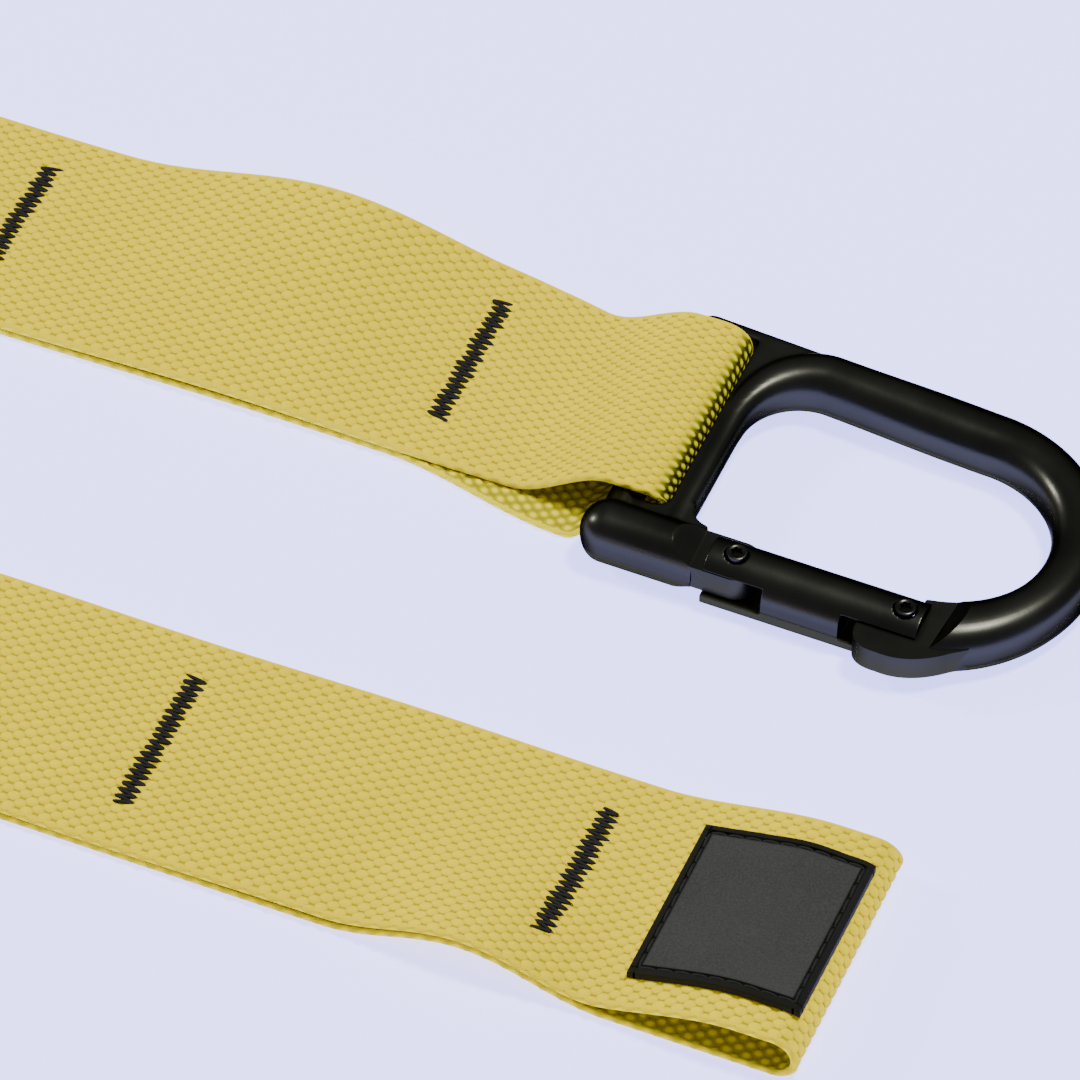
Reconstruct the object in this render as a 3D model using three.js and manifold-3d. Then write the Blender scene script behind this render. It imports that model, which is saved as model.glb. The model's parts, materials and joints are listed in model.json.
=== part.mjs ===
// Daisy-chain hanging strap with a carabiner, lying on a flat surface.
//
// One band of webbing is folded round the bar of the carabiner and back on itself, and bar tacks
// sew its two layers into a chain of pockets. The strap runs away from the carabiner along -X,
// stands on edge through a U-turn, and comes back along +X to the end fold with its rubber patch.
//
// Millimetres, +X along the strap towards the carabiner's round end, +Z up. The whole assembly is
// shifted at the end, so that the origin is the middle of its footprint on the surface.

import * as THREE from 'three';
import { ParametricGeometry } from 'three/addons/geometries/ParametricGeometry.js';
import { mergeVertices } from 'three/addons/utils/BufferGeometryUtils.js';
import Module from 'manifold-3d';

const wasm = await Module();
wasm.setup();

const { smoothstep, clamp, lerp, degToRad } = THREE.MathUtils;

// ---- Driving dimensions: fits ----

const GAP = 0.3; // left between two pieces that touch

// ---- Driving dimensions: webbing ----

const WEBBING_WIDTH = 50;
const WEBBING_THICKNESS = 1.3;
const TURN_RADIUS = 53.7; // half the distance between the centre lines of the two runs
const TWIST_LENGTH = 100; // in which the strap turns from flat to standing on its edge
const POCKET_PITCH = 80.3;
const FIRST_POCKET_PITCH = 94.3; // the pocket after the one that holds the carabiner
const REGULAR_POCKETS = 8;
const BAR_TO_FIRST_TACK = 41.6;
const LAST_TACK_TO_END = 51.2;
const PATCH_END_X = 76.1; // how far the end fold lies beyond the webbing bar
const POCKET_OPENING = 0.5; // how far the layers part in the middle of a pocket

// ---- Driving dimensions: bar tacks and patch ----

const TACK_LENGTH = 32; // across the webbing
const TACK_OFFSET = 0.9; // of its middle from the webbing's, towards +Y in both runs
const TACK_WIDTH = 4.4;
const TACK_STAND = 0.5; // above the upper layer
const PATCH_LENGTH = 31.9; // along the webbing
const PATCH_WIDTH = 36.4;
const PATCH_THICKNESS = 1.6;
const PATCH_OFFSET = 0.4; // of its middle from the webbing's, away from the U-turn's inside
const PATCH_TO_END = 1.7; // from the patch to the end fold
const STITCH_INSET = 2;
const STITCH_WIDTH = 0.7;

// ---- Driving dimensions: carabiner, seen from above, from the middle of its webbing bar ----

const HALF_HEIGHT = 5.5;
const BAR_RADIUS = 3.2;
const SLOT_NEAR_Y = -21.5; // the slot between the legs holds the squeezed webbing
const SLOT_FAR_Y = 24.3;
const CROSSBAR_LEFT = 8.4;
const CROSSBAR_WIDTH = 4.9;
const CROSSBAR_HALF_HEIGHT = 3;
const FAR_ROD_Y = 21.3;
const EYE_CORNER = { x: 24.2, y: 5 };
const ROUND_END = { x: 56.5, y: -5.1, radius: 24.5 };
const LEG_Y = -28.7;
const LEG_RADIUS = 5.2;
const LEG_TIP = -LEG_RADIUS; // round about the bar's axis, so the hook can swing over the webbing
const FAR_LEG_TIP = -4.6;
const FAR_LEG_OUTSIDE = 27.9;
const FAR_LEG_CORNER = 3.4;
const FAR_WEB_END = { x: 48, y: 25.4 }; // where the far leg's flat web has run out along the far rod
const TONGUE_TOP = 2.7;
const TONGUE_BOTTOM = -2.5;
const TONGUE_END = 29.3;
const HINGE_TONGUE_HALF_WIDTH = 4.8;
const HINGE_STEP = { x: 17.6, slope: 1.7, lean: 0 }; // where the leg slopes down to its tongue
const NOSE_STEP = { x: 64.8, slope: 1.2, lean: degToRad(-5) }; // where the nose does

// ---- Driving dimensions: gate ----

const GATE = { left: 20.3, right: 61.4, y: -29.1, halfWidth: 5.6, top: 5.2, parting: -2, bottom: -5, corner: 0.8 };
const HINGE_X = 25.2;
const LATCH_X = 57.8;
const HINGE_SLOT_END = 32.1;
const LATCH_SLOT_START = 47.1;
const SCREW_RADIUS = 1.5;
const HEAD_RADIUS = 2;
const HEAD_TOP = 5.8;
const HEAD_HEIGHT = 1;
const NUT_RADIUS = 2.4;
const NUT_TOP = -4.8;
const HINGE_NUT_BOTTOM = -6.1;
const LATCH_NUT_BOTTOM = -5.8;
const PLUNGER_RADIUS = 1.3;
const PLUNGER_LENGTH = 6;
const BORE_END = 44.1;

// ---- Driving dimensions: how the carabiner lies, propped on the webbing under its bar ----

const BAR_HEIGHT = 7.1;
const NOSE_DOWN = degToRad(1.05);
const SLOT_MIDDLE_Y = TURN_RADIUS - 3.7;

// ---- Values that follow ----

const halfWidth = WEBBING_WIDTH / 2;
const halfThickness = WEBBING_THICKNESS / 2;
const strapLength = BAR_TO_FIRST_TACK + FIRST_POCKET_PITCH + REGULAR_POCKETS * POCKET_PITCH + LAST_TACK_TO_END;
const turnLength = Math.PI * TURN_RADIUS;
const turnStart = (strapLength - turnLength - PATCH_END_X) / 2;
const lowerHeight = halfThickness; // of the lower layer's middle above the surface
const sewnHeight = lowerHeight + WEBBING_THICKNESS + GAP; // of the upper layer's middle at a bar tack
const tackPositions = tackDistances();

const YELLOW = 0xf3d333;
const BLACK_METAL = 0x1b1b1a;

function tackDistances() {
  const distances = [BAR_TO_FIRST_TACK];
  const second = BAR_TO_FIRST_TACK + FIRST_POCKET_PITCH;
  for (let i = 0; i <= REGULAR_POCKETS; i++) distances.push(second + i * POCKET_PITCH);
  return distances;
}

// ---- Closed meshes and booleans ----

// Leaves only positions, shares the vertices that coincide, drops the triangles that have no area
// and turns the faces outwards.
function closed(geometry) {
  const bare = geometry.clone();
  bare.deleteAttribute('normal');
  bare.deleteAttribute('uv');
  const merged = mergeVertices(bare, 1e-4);
  const index = merged.index.array;
  const position = merged.attributes.position;
  const kept = [];
  let volume = 0;
  const [a, b, c] = [new THREE.Vector3(), new THREE.Vector3(), new THREE.Vector3()];
  for (let i = 0; i < index.length; i += 3) {
    const [p, q, r] = [index[i], index[i + 1], index[i + 2]];
    if (p === q || q === r || r === p) continue;
    kept.push(p, q, r);
    a.fromBufferAttribute(position, p);
    b.fromBufferAttribute(position, q);
    c.fromBufferAttribute(position, r);
    volume += a.dot(b.cross(c));
  }
  if (volume < 0) kept.reverse();
  merged.setIndex(kept);
  return merged;
}

function solid(geometry) {
  const mesh = closed(geometry);
  return new wasm.Manifold(new wasm.Mesh({
    numProp: 3,
    vertProperties: new Float32Array(mesh.attributes.position.array),
    triVerts: new Uint32Array(mesh.index.array),
  }));
}

function geometryOf(manifold) {
  const { vertProperties, triVerts } = manifold.getMesh();
  const geometry = new THREE.BufferGeometry();
  geometry.setAttribute('position', new THREE.BufferAttribute(vertProperties, 3));
  geometry.setIndex(new THREE.BufferAttribute(triVerts, 1));
  return geometry;
}

function cut(body, ...tools) {
  return tools.reduce((rest, tool) => rest.subtract(tool), body);
}

function join(body, ...others) {
  return others.reduce((whole, other) => whole.add(other), body);
}

// A box between two corners.
function block([x0, y0, z0], [x1, y1, z1]) {
  const box = new THREE.BoxGeometry(x1 - x0, y1 - y0, z1 - z0);
  return solid(box.translate((x0 + x1) / 2, (y0 + y1) / 2, (z0 + z1) / 2));
}

// An outline in the XY plane between two heights.
function plate(shape, bottom, top) {
  const extruded = new THREE.ExtrudeGeometry(shape, { depth: top - bottom, bevelEnabled: false, curveSegments: 8 });
  return solid(extruded.translate(0, 0, bottom));
}

// A solid of revolution about a vertical line through (x, y).
function turned(profile, x, y, segments = 24) {
  const points = profile.map(([radius, height]) => new THREE.Vector2(radius, height));
  const lathe = new THREE.LatheGeometry(points, segments);
  return solid(lathe.rotateX(Math.PI / 2).translate(x, y, 0));
}

function pin(radius, bottom, top, x, y) {
  return turned([[0, bottom], [radius, bottom], [radius, top], [0, top]], x, y);
}

function mesh(name, geometry, color, roughness, metalness) {
  const piece = new THREE.Mesh(geometry, new THREE.MeshStandardMaterial({ color, roughness, metalness }));
  piece.name = name;
  return piece;
}

// ---- The strap's own coordinates ----

// How far the strap has turned about its length at a distance from the bar: 0 flat, 1 on edge.
function standing(distance) {
  const rising = smoothstep(distance, turnStart - TWIST_LENGTH, turnStart);
  const turnEnd = turnStart + turnLength;
  return rising - smoothstep(distance, turnEnd, turnEnd + TWIST_LENGTH);
}

// Long shallow waves that lift one edge of the strap: outer is the edge outside the U-turn.
const waves = [
  { at: 78, reach: 46, outer: 7.6, inner: 0.6 },
  { at: strapLength - 62, reach: 27, outer: 6.2, inner: 0 },
];

function waveHeight(distance, across) {
  const outward = (1 + across / halfWidth) / 2;
  return waves.reduce((height, wave) => {
    const along = clamp((distance - wave.at) / wave.reach, -1, 1);
    const share = (1 + Math.cos(Math.PI * along)) / 2;
    const edge = lerp(wave.inner, wave.outer, clamp(outward, 0, 1) ** 1.6);
    return height + share * edge;
  }, 0);
}

// The point at a distance along the strap, a distance across it from its centre line (outwards from
// the U-turn is positive) and a height above the face that lies on the surface.
function strapPoint(distance, across, height) {
  const turn = clamp((distance - turnStart) / TURN_RADIUS, 0, Math.PI);
  const beyond = Math.max(distance - turnStart - turnLength, 0);
  const outward = new THREE.Vector3(-Math.sin(turn), Math.cos(turn), 0);
  const up = new THREE.Vector3(0, 0, 1);
  const angle = (standing(distance) * Math.PI) / 2;
  const edgeLift = halfWidth * Math.sin(angle) + waveHeight(distance, across) * Math.cos(angle);
  return new THREE.Vector3(beyond - Math.min(distance, turnStart), 0, 0)
    .addScaledVector(outward, TURN_RADIUS + across * Math.cos(angle) + height * Math.sin(angle))
    .addScaledVector(up, edgeLift - across * Math.sin(angle) + height * Math.cos(angle));
}

// ---- Webbing ----

const fold = { reach: 7.1, rise: 4.4, drop: BAR_HEIGHT - lowerHeight, squareness: 0.7 }; // round the bar
const endLoop = { reach: 4.4, halfHeight: 4.3, opensFrom: 45 }; // at the patch end

// Half the height of the end loop, which stands higher at the outer edge.
function endHalfHeight(across) {
  return endLoop.halfHeight * (0.9 + (0.1 * across) / halfWidth);
}

// Height of the middle of the upper layer.
function upperHeight(distance, across) {
  const atBar = BAR_HEIGHT + fold.rise - sewnHeight;
  const overBar = atBar * (1 - smoothstep(distance, 3, 23));
  const atEnd = lowerHeight + 2 * endHalfHeight(across) - sewnHeight;
  const overEnd = atEnd * smoothstep(distance, strapLength - endLoop.opensFrom, strapLength - 11);
  return sewnHeight + overBar + overEnd + pocketOpening(distance);
}

function pocketOpening(distance) {
  const next = tackPositions.findIndex((position) => position > distance);
  if (next < 1) return 0;
  const share = (distance - tackPositions[next - 1]) / (tackPositions[next] - tackPositions[next - 1]);
  return POCKET_OPENING * Math.sin(Math.PI * share) ** 2;
}

// The two edges of a layer, measured across the strap: between the legs the webbing is squeezed,
// and the lower layer leans towards the leg that carries the gate.
const squeezed = { outer: 18.6, inner: -22.6 };
const overBar = { outer: 20.2, inner: -24.9 };

function upperEdges(distance) {
  return {
    outer: lerp(overBar.outer, halfWidth, smoothstep(distance, 7, 42)),
    inner: lerp(overBar.inner, -halfWidth, smoothstep(distance, 7, 20)),
  };
}

function lowerEdges(distance) {
  const leaning = smoothstep(distance, 1, 9) * (1 - smoothstep(distance, 9, 48));
  const free = smoothstep(distance, 1, 9);
  return {
    outer: lerp(squeezed.outer, halfWidth, free) - 5.7 * leaning,
    inner: lerp(squeezed.inner, -halfWidth, free) - 6.3 * leaning,
  };
}

// Distances along a layer, close together near both ends and wide apart between them.
function layerDistances() {
  const start = 0;
  const end = strapLength - endLoop.reach;
  const fineStart = 46;
  const fineEnd = 90;
  const distances = [];
  for (let i = 0; i < 13; i++) distances.push(lerp(start, fineStart, i / 13));
  for (let i = 0; i < 60; i++) distances.push(lerp(fineStart, end - fineEnd, i / 60));
  for (let i = 0; i <= 20; i++) distances.push(lerp(end - fineEnd, end, i / 20));
  return distances;
}

// The middle of the band all the way round: over the bar, along the upper layer, round the end
// fold and back along the lower layer.
function bandStations() {
  const stations = [];
  for (let i = 0; i < 12; i++) {
    const angle = lerp(-Math.PI / 2, Math.PI / 2, i / 12);
    const spread = Math.max(Math.sin(angle), 0) ** fold.squareness;
    const height = BAR_HEIGHT + (angle < 0 ? Math.sin(angle) * fold.drop : spread * fold.rise);
    const outward = angle < 0 ? Math.cos(angle) : Math.cos(angle) ** fold.squareness;
    stations.push({
      distance: -fold.reach * outward,
      height: () => height,
      outer: lerp(squeezed.outer, overBar.outer, spread),
      inner: lerp(squeezed.inner, overBar.inner, spread),
    });
  }
  const distances = layerDistances();
  for (const distance of distances) {
    stations.push({ distance, height: (across) => upperHeight(distance, across), ...upperEdges(distance) });
  }
  for (let i = 1; i < 10; i++) {
    const angle = lerp(Math.PI / 2, -Math.PI / 2, i / 10);
    stations.push({
      distance: strapLength - endLoop.reach + endLoop.reach * Math.cos(angle),
      height: (across) => lowerHeight + endHalfHeight(across) * (1 + Math.sin(angle)),
      outer: halfWidth,
      inner: -halfWidth,
    });
  }
  for (const distance of distances.slice(1).reverse()) {
    stations.push({ distance, height: () => lowerHeight, ...lowerEdges(distance) });
  }
  return stations;
}

// The band's section: across from one edge to the other on the outside, and back on the inside.
const ACROSS_STEPS = 4;
const SECTION_STEPS = 2 * ACROSS_STEPS + 2;

function sectionPoint(step) {
  const place = step % SECTION_STEPS;
  if (place <= ACROSS_STEPS) return { share: place / ACROSS_STEPS, side: 1 };
  return { share: (SECTION_STEPS - 1 - place) / ACROSS_STEPS, side: -1 };
}

function webbingSolid() {
  const stations = bandStations();
  const count = stations.length;
  const surface = (u, v, target) => {
    const row = Math.round(v * count) % count;
    const here = stations[row];
    const before = stations[(row + count - 1) % count];
    const after = stations[(row + 1) % count];
    const { share, side } = sectionPoint(Math.round(u * SECTION_STEPS));
    const across = lerp(here.inner, here.outer, share);
    const rise = after.height(across) - before.height(across);
    const along = new THREE.Vector2(after.distance - before.distance, rise).normalize();
    const distance = here.distance - side * halfThickness * along.y;
    target.copy(strapPoint(distance, across, here.height(across) + side * halfThickness * along.x));
  };
  return solid(new ParametricGeometry(surface, SECTION_STEPS, count));
}

// A box given in the strap's own coordinates, bent with the strap.
function strapBlock([s0, v0, h0], [s1, v1, h1], heightAt, steps = [1, 1]) {
  const box = new THREE.BoxGeometry(1, 1, 1, steps[0], steps[1], 1);
  const position = box.attributes.position;
  const point = new THREE.Vector3();
  for (let i = 0; i < position.count; i++) {
    point.fromBufferAttribute(position, i).addScalar(0.5);
    const distance = lerp(s0, s1, point.x);
    const across = lerp(v0, v1, point.y);
    point.copy(strapPoint(distance, across, lerp(h0, h1, point.z) + heightAt(distance, across)));
    position.setXYZ(i, point.x, point.y, point.z);
  }
  return solid(box);
}

const onTheSurface = () => 0;
const tackTop = sewnHeight + halfThickness + TACK_STAND;

function tackSolid(position, margin = 0) {
  const half = TACK_WIDTH / 2 + margin;
  const reach = TACK_LENGTH / 2 + margin;
  const middle = TACK_OFFSET * (1 - (2 * position) / strapLength);
  const low = [position - half, middle - reach, margin ? -1 : 0];
  const high = [position + half, middle + reach, tackTop + 5 * margin];
  return strapBlock(low, high, onTheSurface, [1, 4]);
}

// ---- Patch ----

const patchStart = strapLength - PATCH_TO_END - PATCH_LENGTH;
const patchMiddle = { distance: patchStart + PATCH_LENGTH / 2, across: PATCH_OFFSET };

// The patch lies on the upper layer, and follows it down where it turns into the end fold.
function patchBase(distance, across) {
  const straight = strapLength - endLoop.reach;
  const slopeAllowance = 0.08;
  const rounding = endHalfHeight(across) + halfThickness;
  const share = Math.max(distance - straight, 0) / (endLoop.reach + halfThickness);
  const dip = rounding * (1 - Math.sqrt(1 - share ** 2));
  return upperHeight(Math.min(distance, straight), across) + halfThickness + GAP + slopeAllowance - dip;
}

function patchSolid() {
  const low = [patchStart, patchMiddle.across - PATCH_WIDTH / 2, 0];
  const high = [patchStart + PATCH_LENGTH, patchMiddle.across + PATCH_WIDTH / 2, PATCH_THICKNESS];
  return cut(strapBlock(low, high, patchBase, [12, 3]), stitchingSolid(GAP));
}

// A thread ring that lies in a groove just inside the patch's edge.
function stitchingSolid(margin = 0) {
  const halfLength = PATCH_LENGTH / 2 - STITCH_INSET;
  const reach = PATCH_WIDTH / 2 - STITCH_INSET;
  const width = STITCH_WIDTH / 2 + margin;
  const bottom = PATCH_THICKNESS - STITCH_WIDTH - margin;
  const top = PATCH_THICKNESS + margin;
  const corners = [[-1, -1], [1, -1], [1, 1], [-1, 1]];
  const stepsPerSide = 8;
  const section = [[-width, bottom], [width, bottom], [width, top], [-width, top]];
  const surface = (u, v, target) => {
    const row = Math.round(v * 4 * stepsPerSide) % (4 * stepsPerSide);
    const side = Math.floor(row / stepsPerSide);
    const share = (row % stepsPerSide) / stepsPerSide;
    const [a, b] = [corners[side], corners[(side + 1) % 4]];
    const [offset, height] = section[Math.round(u * 4) % 4];
    const x = lerp(a[0], b[0], share);
    const y = lerp(a[1], b[1], share);
    const distance = patchMiddle.distance + x * halfLength + (Math.abs(x) === 1 ? x * offset : 0);
    const across = patchMiddle.across + y * reach + (Math.abs(y) === 1 ? y * offset : 0);
    target.copy(strapPoint(distance, across, patchBase(distance, across) + height));
  };
  return solid(new ParametricGeometry(surface, 4, 4 * stepsPerSide));
}

// ---- Carabiner body ----

// A rod's section: round on top and squarer below, as a casting with a low parting line.
function rodSection(angle, radius, halfHeight, squareness) {
  const power = Math.sin(angle) < 0 ? squareness : 2.3;
  const cosine = Math.cos(angle);
  const sine = Math.sin(angle);
  const scale = (Math.abs(cosine) ** power + Math.abs(sine) ** power) ** (-1 / power);
  return { sideways: radius * scale * cosine, height: halfHeight * scale * sine };
}

// A rod along a plane path. radiusAt and heightAt give half its width and height at each share of
// the path, and tipAt how far it has closed towards an end.
function rod(path, radiusAt, steps, { tipAt = () => 1, heightAt = () => HALF_HEIGHT, squareness = 2.7 } = {}) {
  const rows = steps + 2;
  const surface = (u, v, target) => {
    const row = Math.round(v * rows);
    const share = clamp((row - 1) / steps, 0, 1);
    const capped = row === 0 || row === rows ? 0 : 1;
    const centre = path.getPoint(share);
    const along = path.getTangent(clamp(share, 1e-4, 1 - 1e-4));
    const closing = capped * tipAt(share);
    const [width, tall] = [radiusAt(share) * closing, heightAt(share) * closing];
    const { sideways, height } = rodSection(u * 2 * Math.PI, width, tall, squareness);
    target.set(centre.x - along.y * sideways, centre.y + along.x * sideways, height);
  };
  return solid(new ParametricGeometry(surface, 20, rows));
}

const crossbarX = CROSSBAR_LEFT + CROSSBAR_WIDTH / 2;

// The middle of the ring from the crossbar round the corner of the eye to the far rod.
function roundEyeCorner(path) {
  const reach = { x: EYE_CORNER.x - crossbarX, y: FAR_ROD_Y - EYE_CORNER.y };
  path.lineTo(crossbarX, EYE_CORNER.y);
  path.absellipse(EYE_CORNER.x, EYE_CORNER.y, reach.x, reach.y, Math.PI, Math.PI / 2, true);
}

function ringPath() {
  const path = new THREE.Path();
  path.moveTo(crossbarX, LEG_Y + 1.5);
  roundEyeCorner(path);
  path.lineTo(ROUND_END.x, ROUND_END.y + ROUND_END.radius);
  path.absarc(ROUND_END.x, ROUND_END.y, ROUND_END.radius, Math.PI / 2, degToRad(-80), true);
  return path;
}

// Half the ring's width: thin in the crossbar, thickest in the far rod, and wider again at the nose.
function ringRadius(share) {
  const thin = CROSSBAR_WIDTH / 2;
  const pastCorner = lerp(thin, 5, smoothstep(share, 0.17, 0.35));
  const thickest = lerp(pastCorner, 5.5, smoothstep(share, 0.35, 0.5));
  const tapered = lerp(thickest, 5.1, smoothstep(share, 0.5, 0.72));
  return lerp(tapered, 6.4, smoothstep(share, 0.84, 1));
}

// Half the ring's height: the crossbar is low, and the far rod grows out of it.
function ringHeight(share) {
  return lerp(CROSSBAR_HALF_HEIGHT, HALF_HEIGHT, smoothstep(share, 0.16, 0.34));
}

function legSolid() {
  const path = new THREE.Path();
  path.moveTo(LEG_TIP, LEG_Y);
  path.lineTo(HINGE_STEP.x + 0.6, LEG_Y);
  const length = HINGE_STEP.x + 0.6 - LEG_TIP;
  const tip = (share) => Math.sqrt(1 - (1 - clamp((share * length) / LEG_RADIUS, 0.02, 1)) ** 2);
  return rod(path, () => LEG_RADIUS, 20, { tipAt: tip, squareness: 3.6 });
}

// The flat webs that join the legs to the ring, and the flat far leg.
function websSolid() {
  const far = new THREE.Shape();
  const corner = FAR_LEG_CORNER;
  far.moveTo(FAR_LEG_TIP, SLOT_FAR_Y);
  far.lineTo(CROSSBAR_LEFT, SLOT_FAR_Y);
  far.lineTo(CROSSBAR_LEFT, EYE_CORNER.y);
  roundEyeCorner(far);
  far.lineTo(FAR_WEB_END.x, FAR_ROD_Y);
  far.lineTo(FAR_WEB_END.x, FAR_WEB_END.y);
  far.lineTo(FAR_LEG_TIP + corner, FAR_LEG_OUTSIDE);
  far.absarc(FAR_LEG_TIP + corner, FAR_LEG_OUTSIDE - corner, corner, Math.PI / 2, Math.PI, false);
  const near = new THREE.Shape();
  const [slotFillet, eyeFillet] = [2.8, 4.2];
  const eyeSide = CROSSBAR_LEFT + CROSSBAR_WIDTH - 0.2;
  near.moveTo(0, LEG_Y);
  near.lineTo(eyeSide + eyeFillet, LEG_Y);
  near.absarc(eyeSide + eyeFillet, -18.5, eyeFillet, -Math.PI / 2, -Math.PI, true);
  near.lineTo(CROSSBAR_LEFT, SLOT_NEAR_Y + slotFillet);
  near.absarc(CROSSBAR_LEFT - slotFillet, SLOT_NEAR_Y + slotFillet, slotFillet, 0, -Math.PI / 2, true);
  near.lineTo(0, SLOT_NEAR_Y);
  const slotWall = block([CROSSBAR_LEFT, SLOT_NEAR_Y, TONGUE_BOTTOM], [crossbarX, EYE_CORNER.y + 1, TONGUE_TOP]);
  return join(plate(far, TONGUE_BOTTOM, TONGUE_TOP), plate(near, TONGUE_BOTTOM, TONGUE_TOP), slotWall);
}

function hingeTongueSolid() {
  const [low, high] = [LEG_Y - HINGE_TONGUE_HALF_WIDTH, LEG_Y + HINGE_TONGUE_HALF_WIDTH];
  const corner = 4;
  const shape = new THREE.Shape();
  shape.moveTo(HINGE_STEP.x, low);
  shape.lineTo(TONGUE_END - corner, low);
  shape.absarc(TONGUE_END - corner, low + corner, corner, -Math.PI / 2, 0, false);
  shape.absarc(TONGUE_END - corner, high - corner, corner, 0, Math.PI / 2, false);
  shape.lineTo(HINGE_STEP.x, high);
  return plate(shape, TONGUE_BOTTOM, TONGUE_TOP);
}

// The nose's tongue hooks round the latch screw, which enters its notch from inside the ring.
function noseTongueSolid() {
  const notch = SCREW_RADIUS + 0.4;
  const shape = new THREE.Shape();
  shape.moveTo(68.1, -23.2);
  shape.lineTo(LATCH_X + notch, -24.4);
  shape.lineTo(LATCH_X + notch, GATE.y);
  shape.absarc(LATCH_X, GATE.y, notch, 0, Math.PI, true);
  shape.lineTo(LATCH_X - notch, -26.2);
  shape.quadraticCurveTo(51.4, -27.7, 50.4, -32.8);
  shape.quadraticCurveTo(49.4, -39.3, 56, -39);
  shape.quadraticCurveTo(62.5, -39.6, 68.5, -33.8);
  shape.lineTo(71.1, -31.8);
  return plate(shape, TONGUE_BOTTOM, TONGUE_TOP);
}

// Takes a rod down to its tongue: everything above and below the tongue on one side of a sloping
// face. direction is 1 where the tongue lies towards +X. The face's slope is its run over its rise,
// and its lean turns it in plan.
function stepCutters({ x, slope, lean }, y, direction) {
  const reach = 24;
  const rise = 4.5;
  return [[TONGUE_TOP, 1], [TONGUE_BOTTOM, -1]].map(([level, upward]) => {
    const shape = new THREE.Shape();
    shape.moveTo(0, 0);
    shape.lineTo(-direction * rise * slope, upward * rise);
    shape.lineTo(direction * reach, upward * rise);
    shape.lineTo(direction * reach, 0);
    const wedge = new THREE.ExtrudeGeometry(shape, { depth: 34, bevelEnabled: false });
    wedge.rotateX(Math.PI / 2).translate(0, 17, 0).rotateZ(lean);
    return solid(wedge.translate(x, y, level));
  });
}

function carabinerSolid() {
  const barEnds = [LEG_Y + 1, SLOT_FAR_Y + 1];
  const bar = new THREE.CylinderGeometry(BAR_RADIUS, BAR_RADIUS, barEnds[1] - barEnds[0], 24);
  bar.translate(0, (barEnds[0] + barEnds[1]) / 2, 0);
  const ring = cut(rod(ringPath(), ringRadius, 52, { heightAt: ringHeight }), ...stepCutters(NOSE_STEP, GATE.y, -1));
  const leg = cut(legSolid(), ...stepCutters(HINGE_STEP, LEG_Y, 1));
  const body = join(ring, leg, websSolid(), solid(bar), hingeTongueSolid(), noseTongueSolid());
  return cut(body, pin(SCREW_RADIUS + GAP, -8, 8, HINGE_X, GATE.y));
}

// ---- Gate ----

// The barrel is round above its parting line and nearly square below it.
function barrelSolid() {
  const { halfWidth: half, top, parting, bottom, corner } = GATE;
  const section = new THREE.Shape();
  section.moveTo(half, parting);
  section.lineTo(half, 0);
  section.absellipse(0, 0, half, top, 0, Math.PI, false);
  section.lineTo(-half, bottom + corner);
  section.absarc(-half + corner, bottom + corner, corner, Math.PI, 1.5 * Math.PI, false);
  section.absarc(half - corner, bottom + corner, corner, 1.5 * Math.PI, 2 * Math.PI, false);
  const options = { depth: GATE.right - GATE.left, bevelEnabled: false, curveSegments: 12 };
  const barrel = new THREE.ExtrudeGeometry(section, options);
  return solid(barrel.rotateX(Math.PI / 2).rotateZ(Math.PI / 2).translate(GATE.left, GATE.y, 0));
}

function gateSolid() {
  const [inside, outside] = [GATE.y + 9, GATE.y - 9];
  const [low, high] = [TONGUE_BOTTOM - GAP, TONGUE_TOP + GAP];
  const hingeSlot = block([GATE.left - 5, outside, low], [HINGE_SLOT_END, inside, high]);
  const latchSlot = block([LATCH_SLOT_START, outside, low], [GATE.right + 5, inside, high]);
  const holes = [[HINGE_X, HINGE_NUT_BOTTOM], [LATCH_X, LATCH_NUT_BOTTOM]].flatMap(([x, bottom]) => [
    pin(SCREW_RADIUS + GAP, -8, 8, x, GATE.y),
    pin(HEAD_RADIUS + GAP, HEAD_TOP - HEAD_HEIGHT - GAP, 8, x, GATE.y),
    pin(NUT_RADIUS + GAP, bottom - 2, NUT_TOP + GAP, x, GATE.y),
  ]);
  const bore = new THREE.CylinderGeometry(PLUNGER_RADIUS + GAP, PLUNGER_RADIUS + GAP, BORE_END - HINGE_SLOT_END + 2, 20);
  bore.rotateZ(Math.PI / 2).translate((BORE_END + HINGE_SLOT_END - 2) / 2, GATE.y, 0);
  return cut(barrelSolid(), hingeSlot, latchSlot, ...holes, solid(bore));
}

// A screw with a hexagon socket in its round head.
function screwSolid(x, bottom) {
  const shank = HEAD_TOP - HEAD_HEIGHT;
  const profile = [
    [0, bottom], [SCREW_RADIUS, bottom], [SCREW_RADIUS, shank],
    [HEAD_RADIUS, shank], [HEAD_RADIUS, HEAD_TOP - 0.25], [HEAD_RADIUS - 0.25, HEAD_TOP], [0, HEAD_TOP],
  ];
  const socket = new THREE.CylinderGeometry(1.15, 1.15, 1.2, 6);
  socket.rotateX(Math.PI / 2).translate(x, GATE.y, HEAD_TOP);
  return cut(turned(profile, x, GATE.y), solid(socket));
}

function nutSolid(x, bottom) {
  const bore = SCREW_RADIUS + GAP;
  const profile = [
    [bore, bottom], [NUT_RADIUS - 0.3, bottom], [NUT_RADIUS, bottom + 0.3], [NUT_RADIUS, NUT_TOP], [bore, NUT_TOP],
    [bore, bottom],
  ];
  return turned(profile, x, GATE.y);
}

const plungerFront = TONGUE_END + GAP;

function plungerSolid() {
  const nose = 0.5;
  const profile = [
    [0, 0], [PLUNGER_RADIUS - nose, 0], [PLUNGER_RADIUS, nose], [PLUNGER_RADIUS, PLUNGER_LENGTH], [0, PLUNGER_LENGTH],
  ].map(([radius, along]) => new THREE.Vector2(radius, along));
  const lathe = new THREE.LatheGeometry(profile, 20);
  return solid(lathe.rotateZ(-Math.PI / 2).translate(plungerFront, GATE.y, 0));
}

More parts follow.
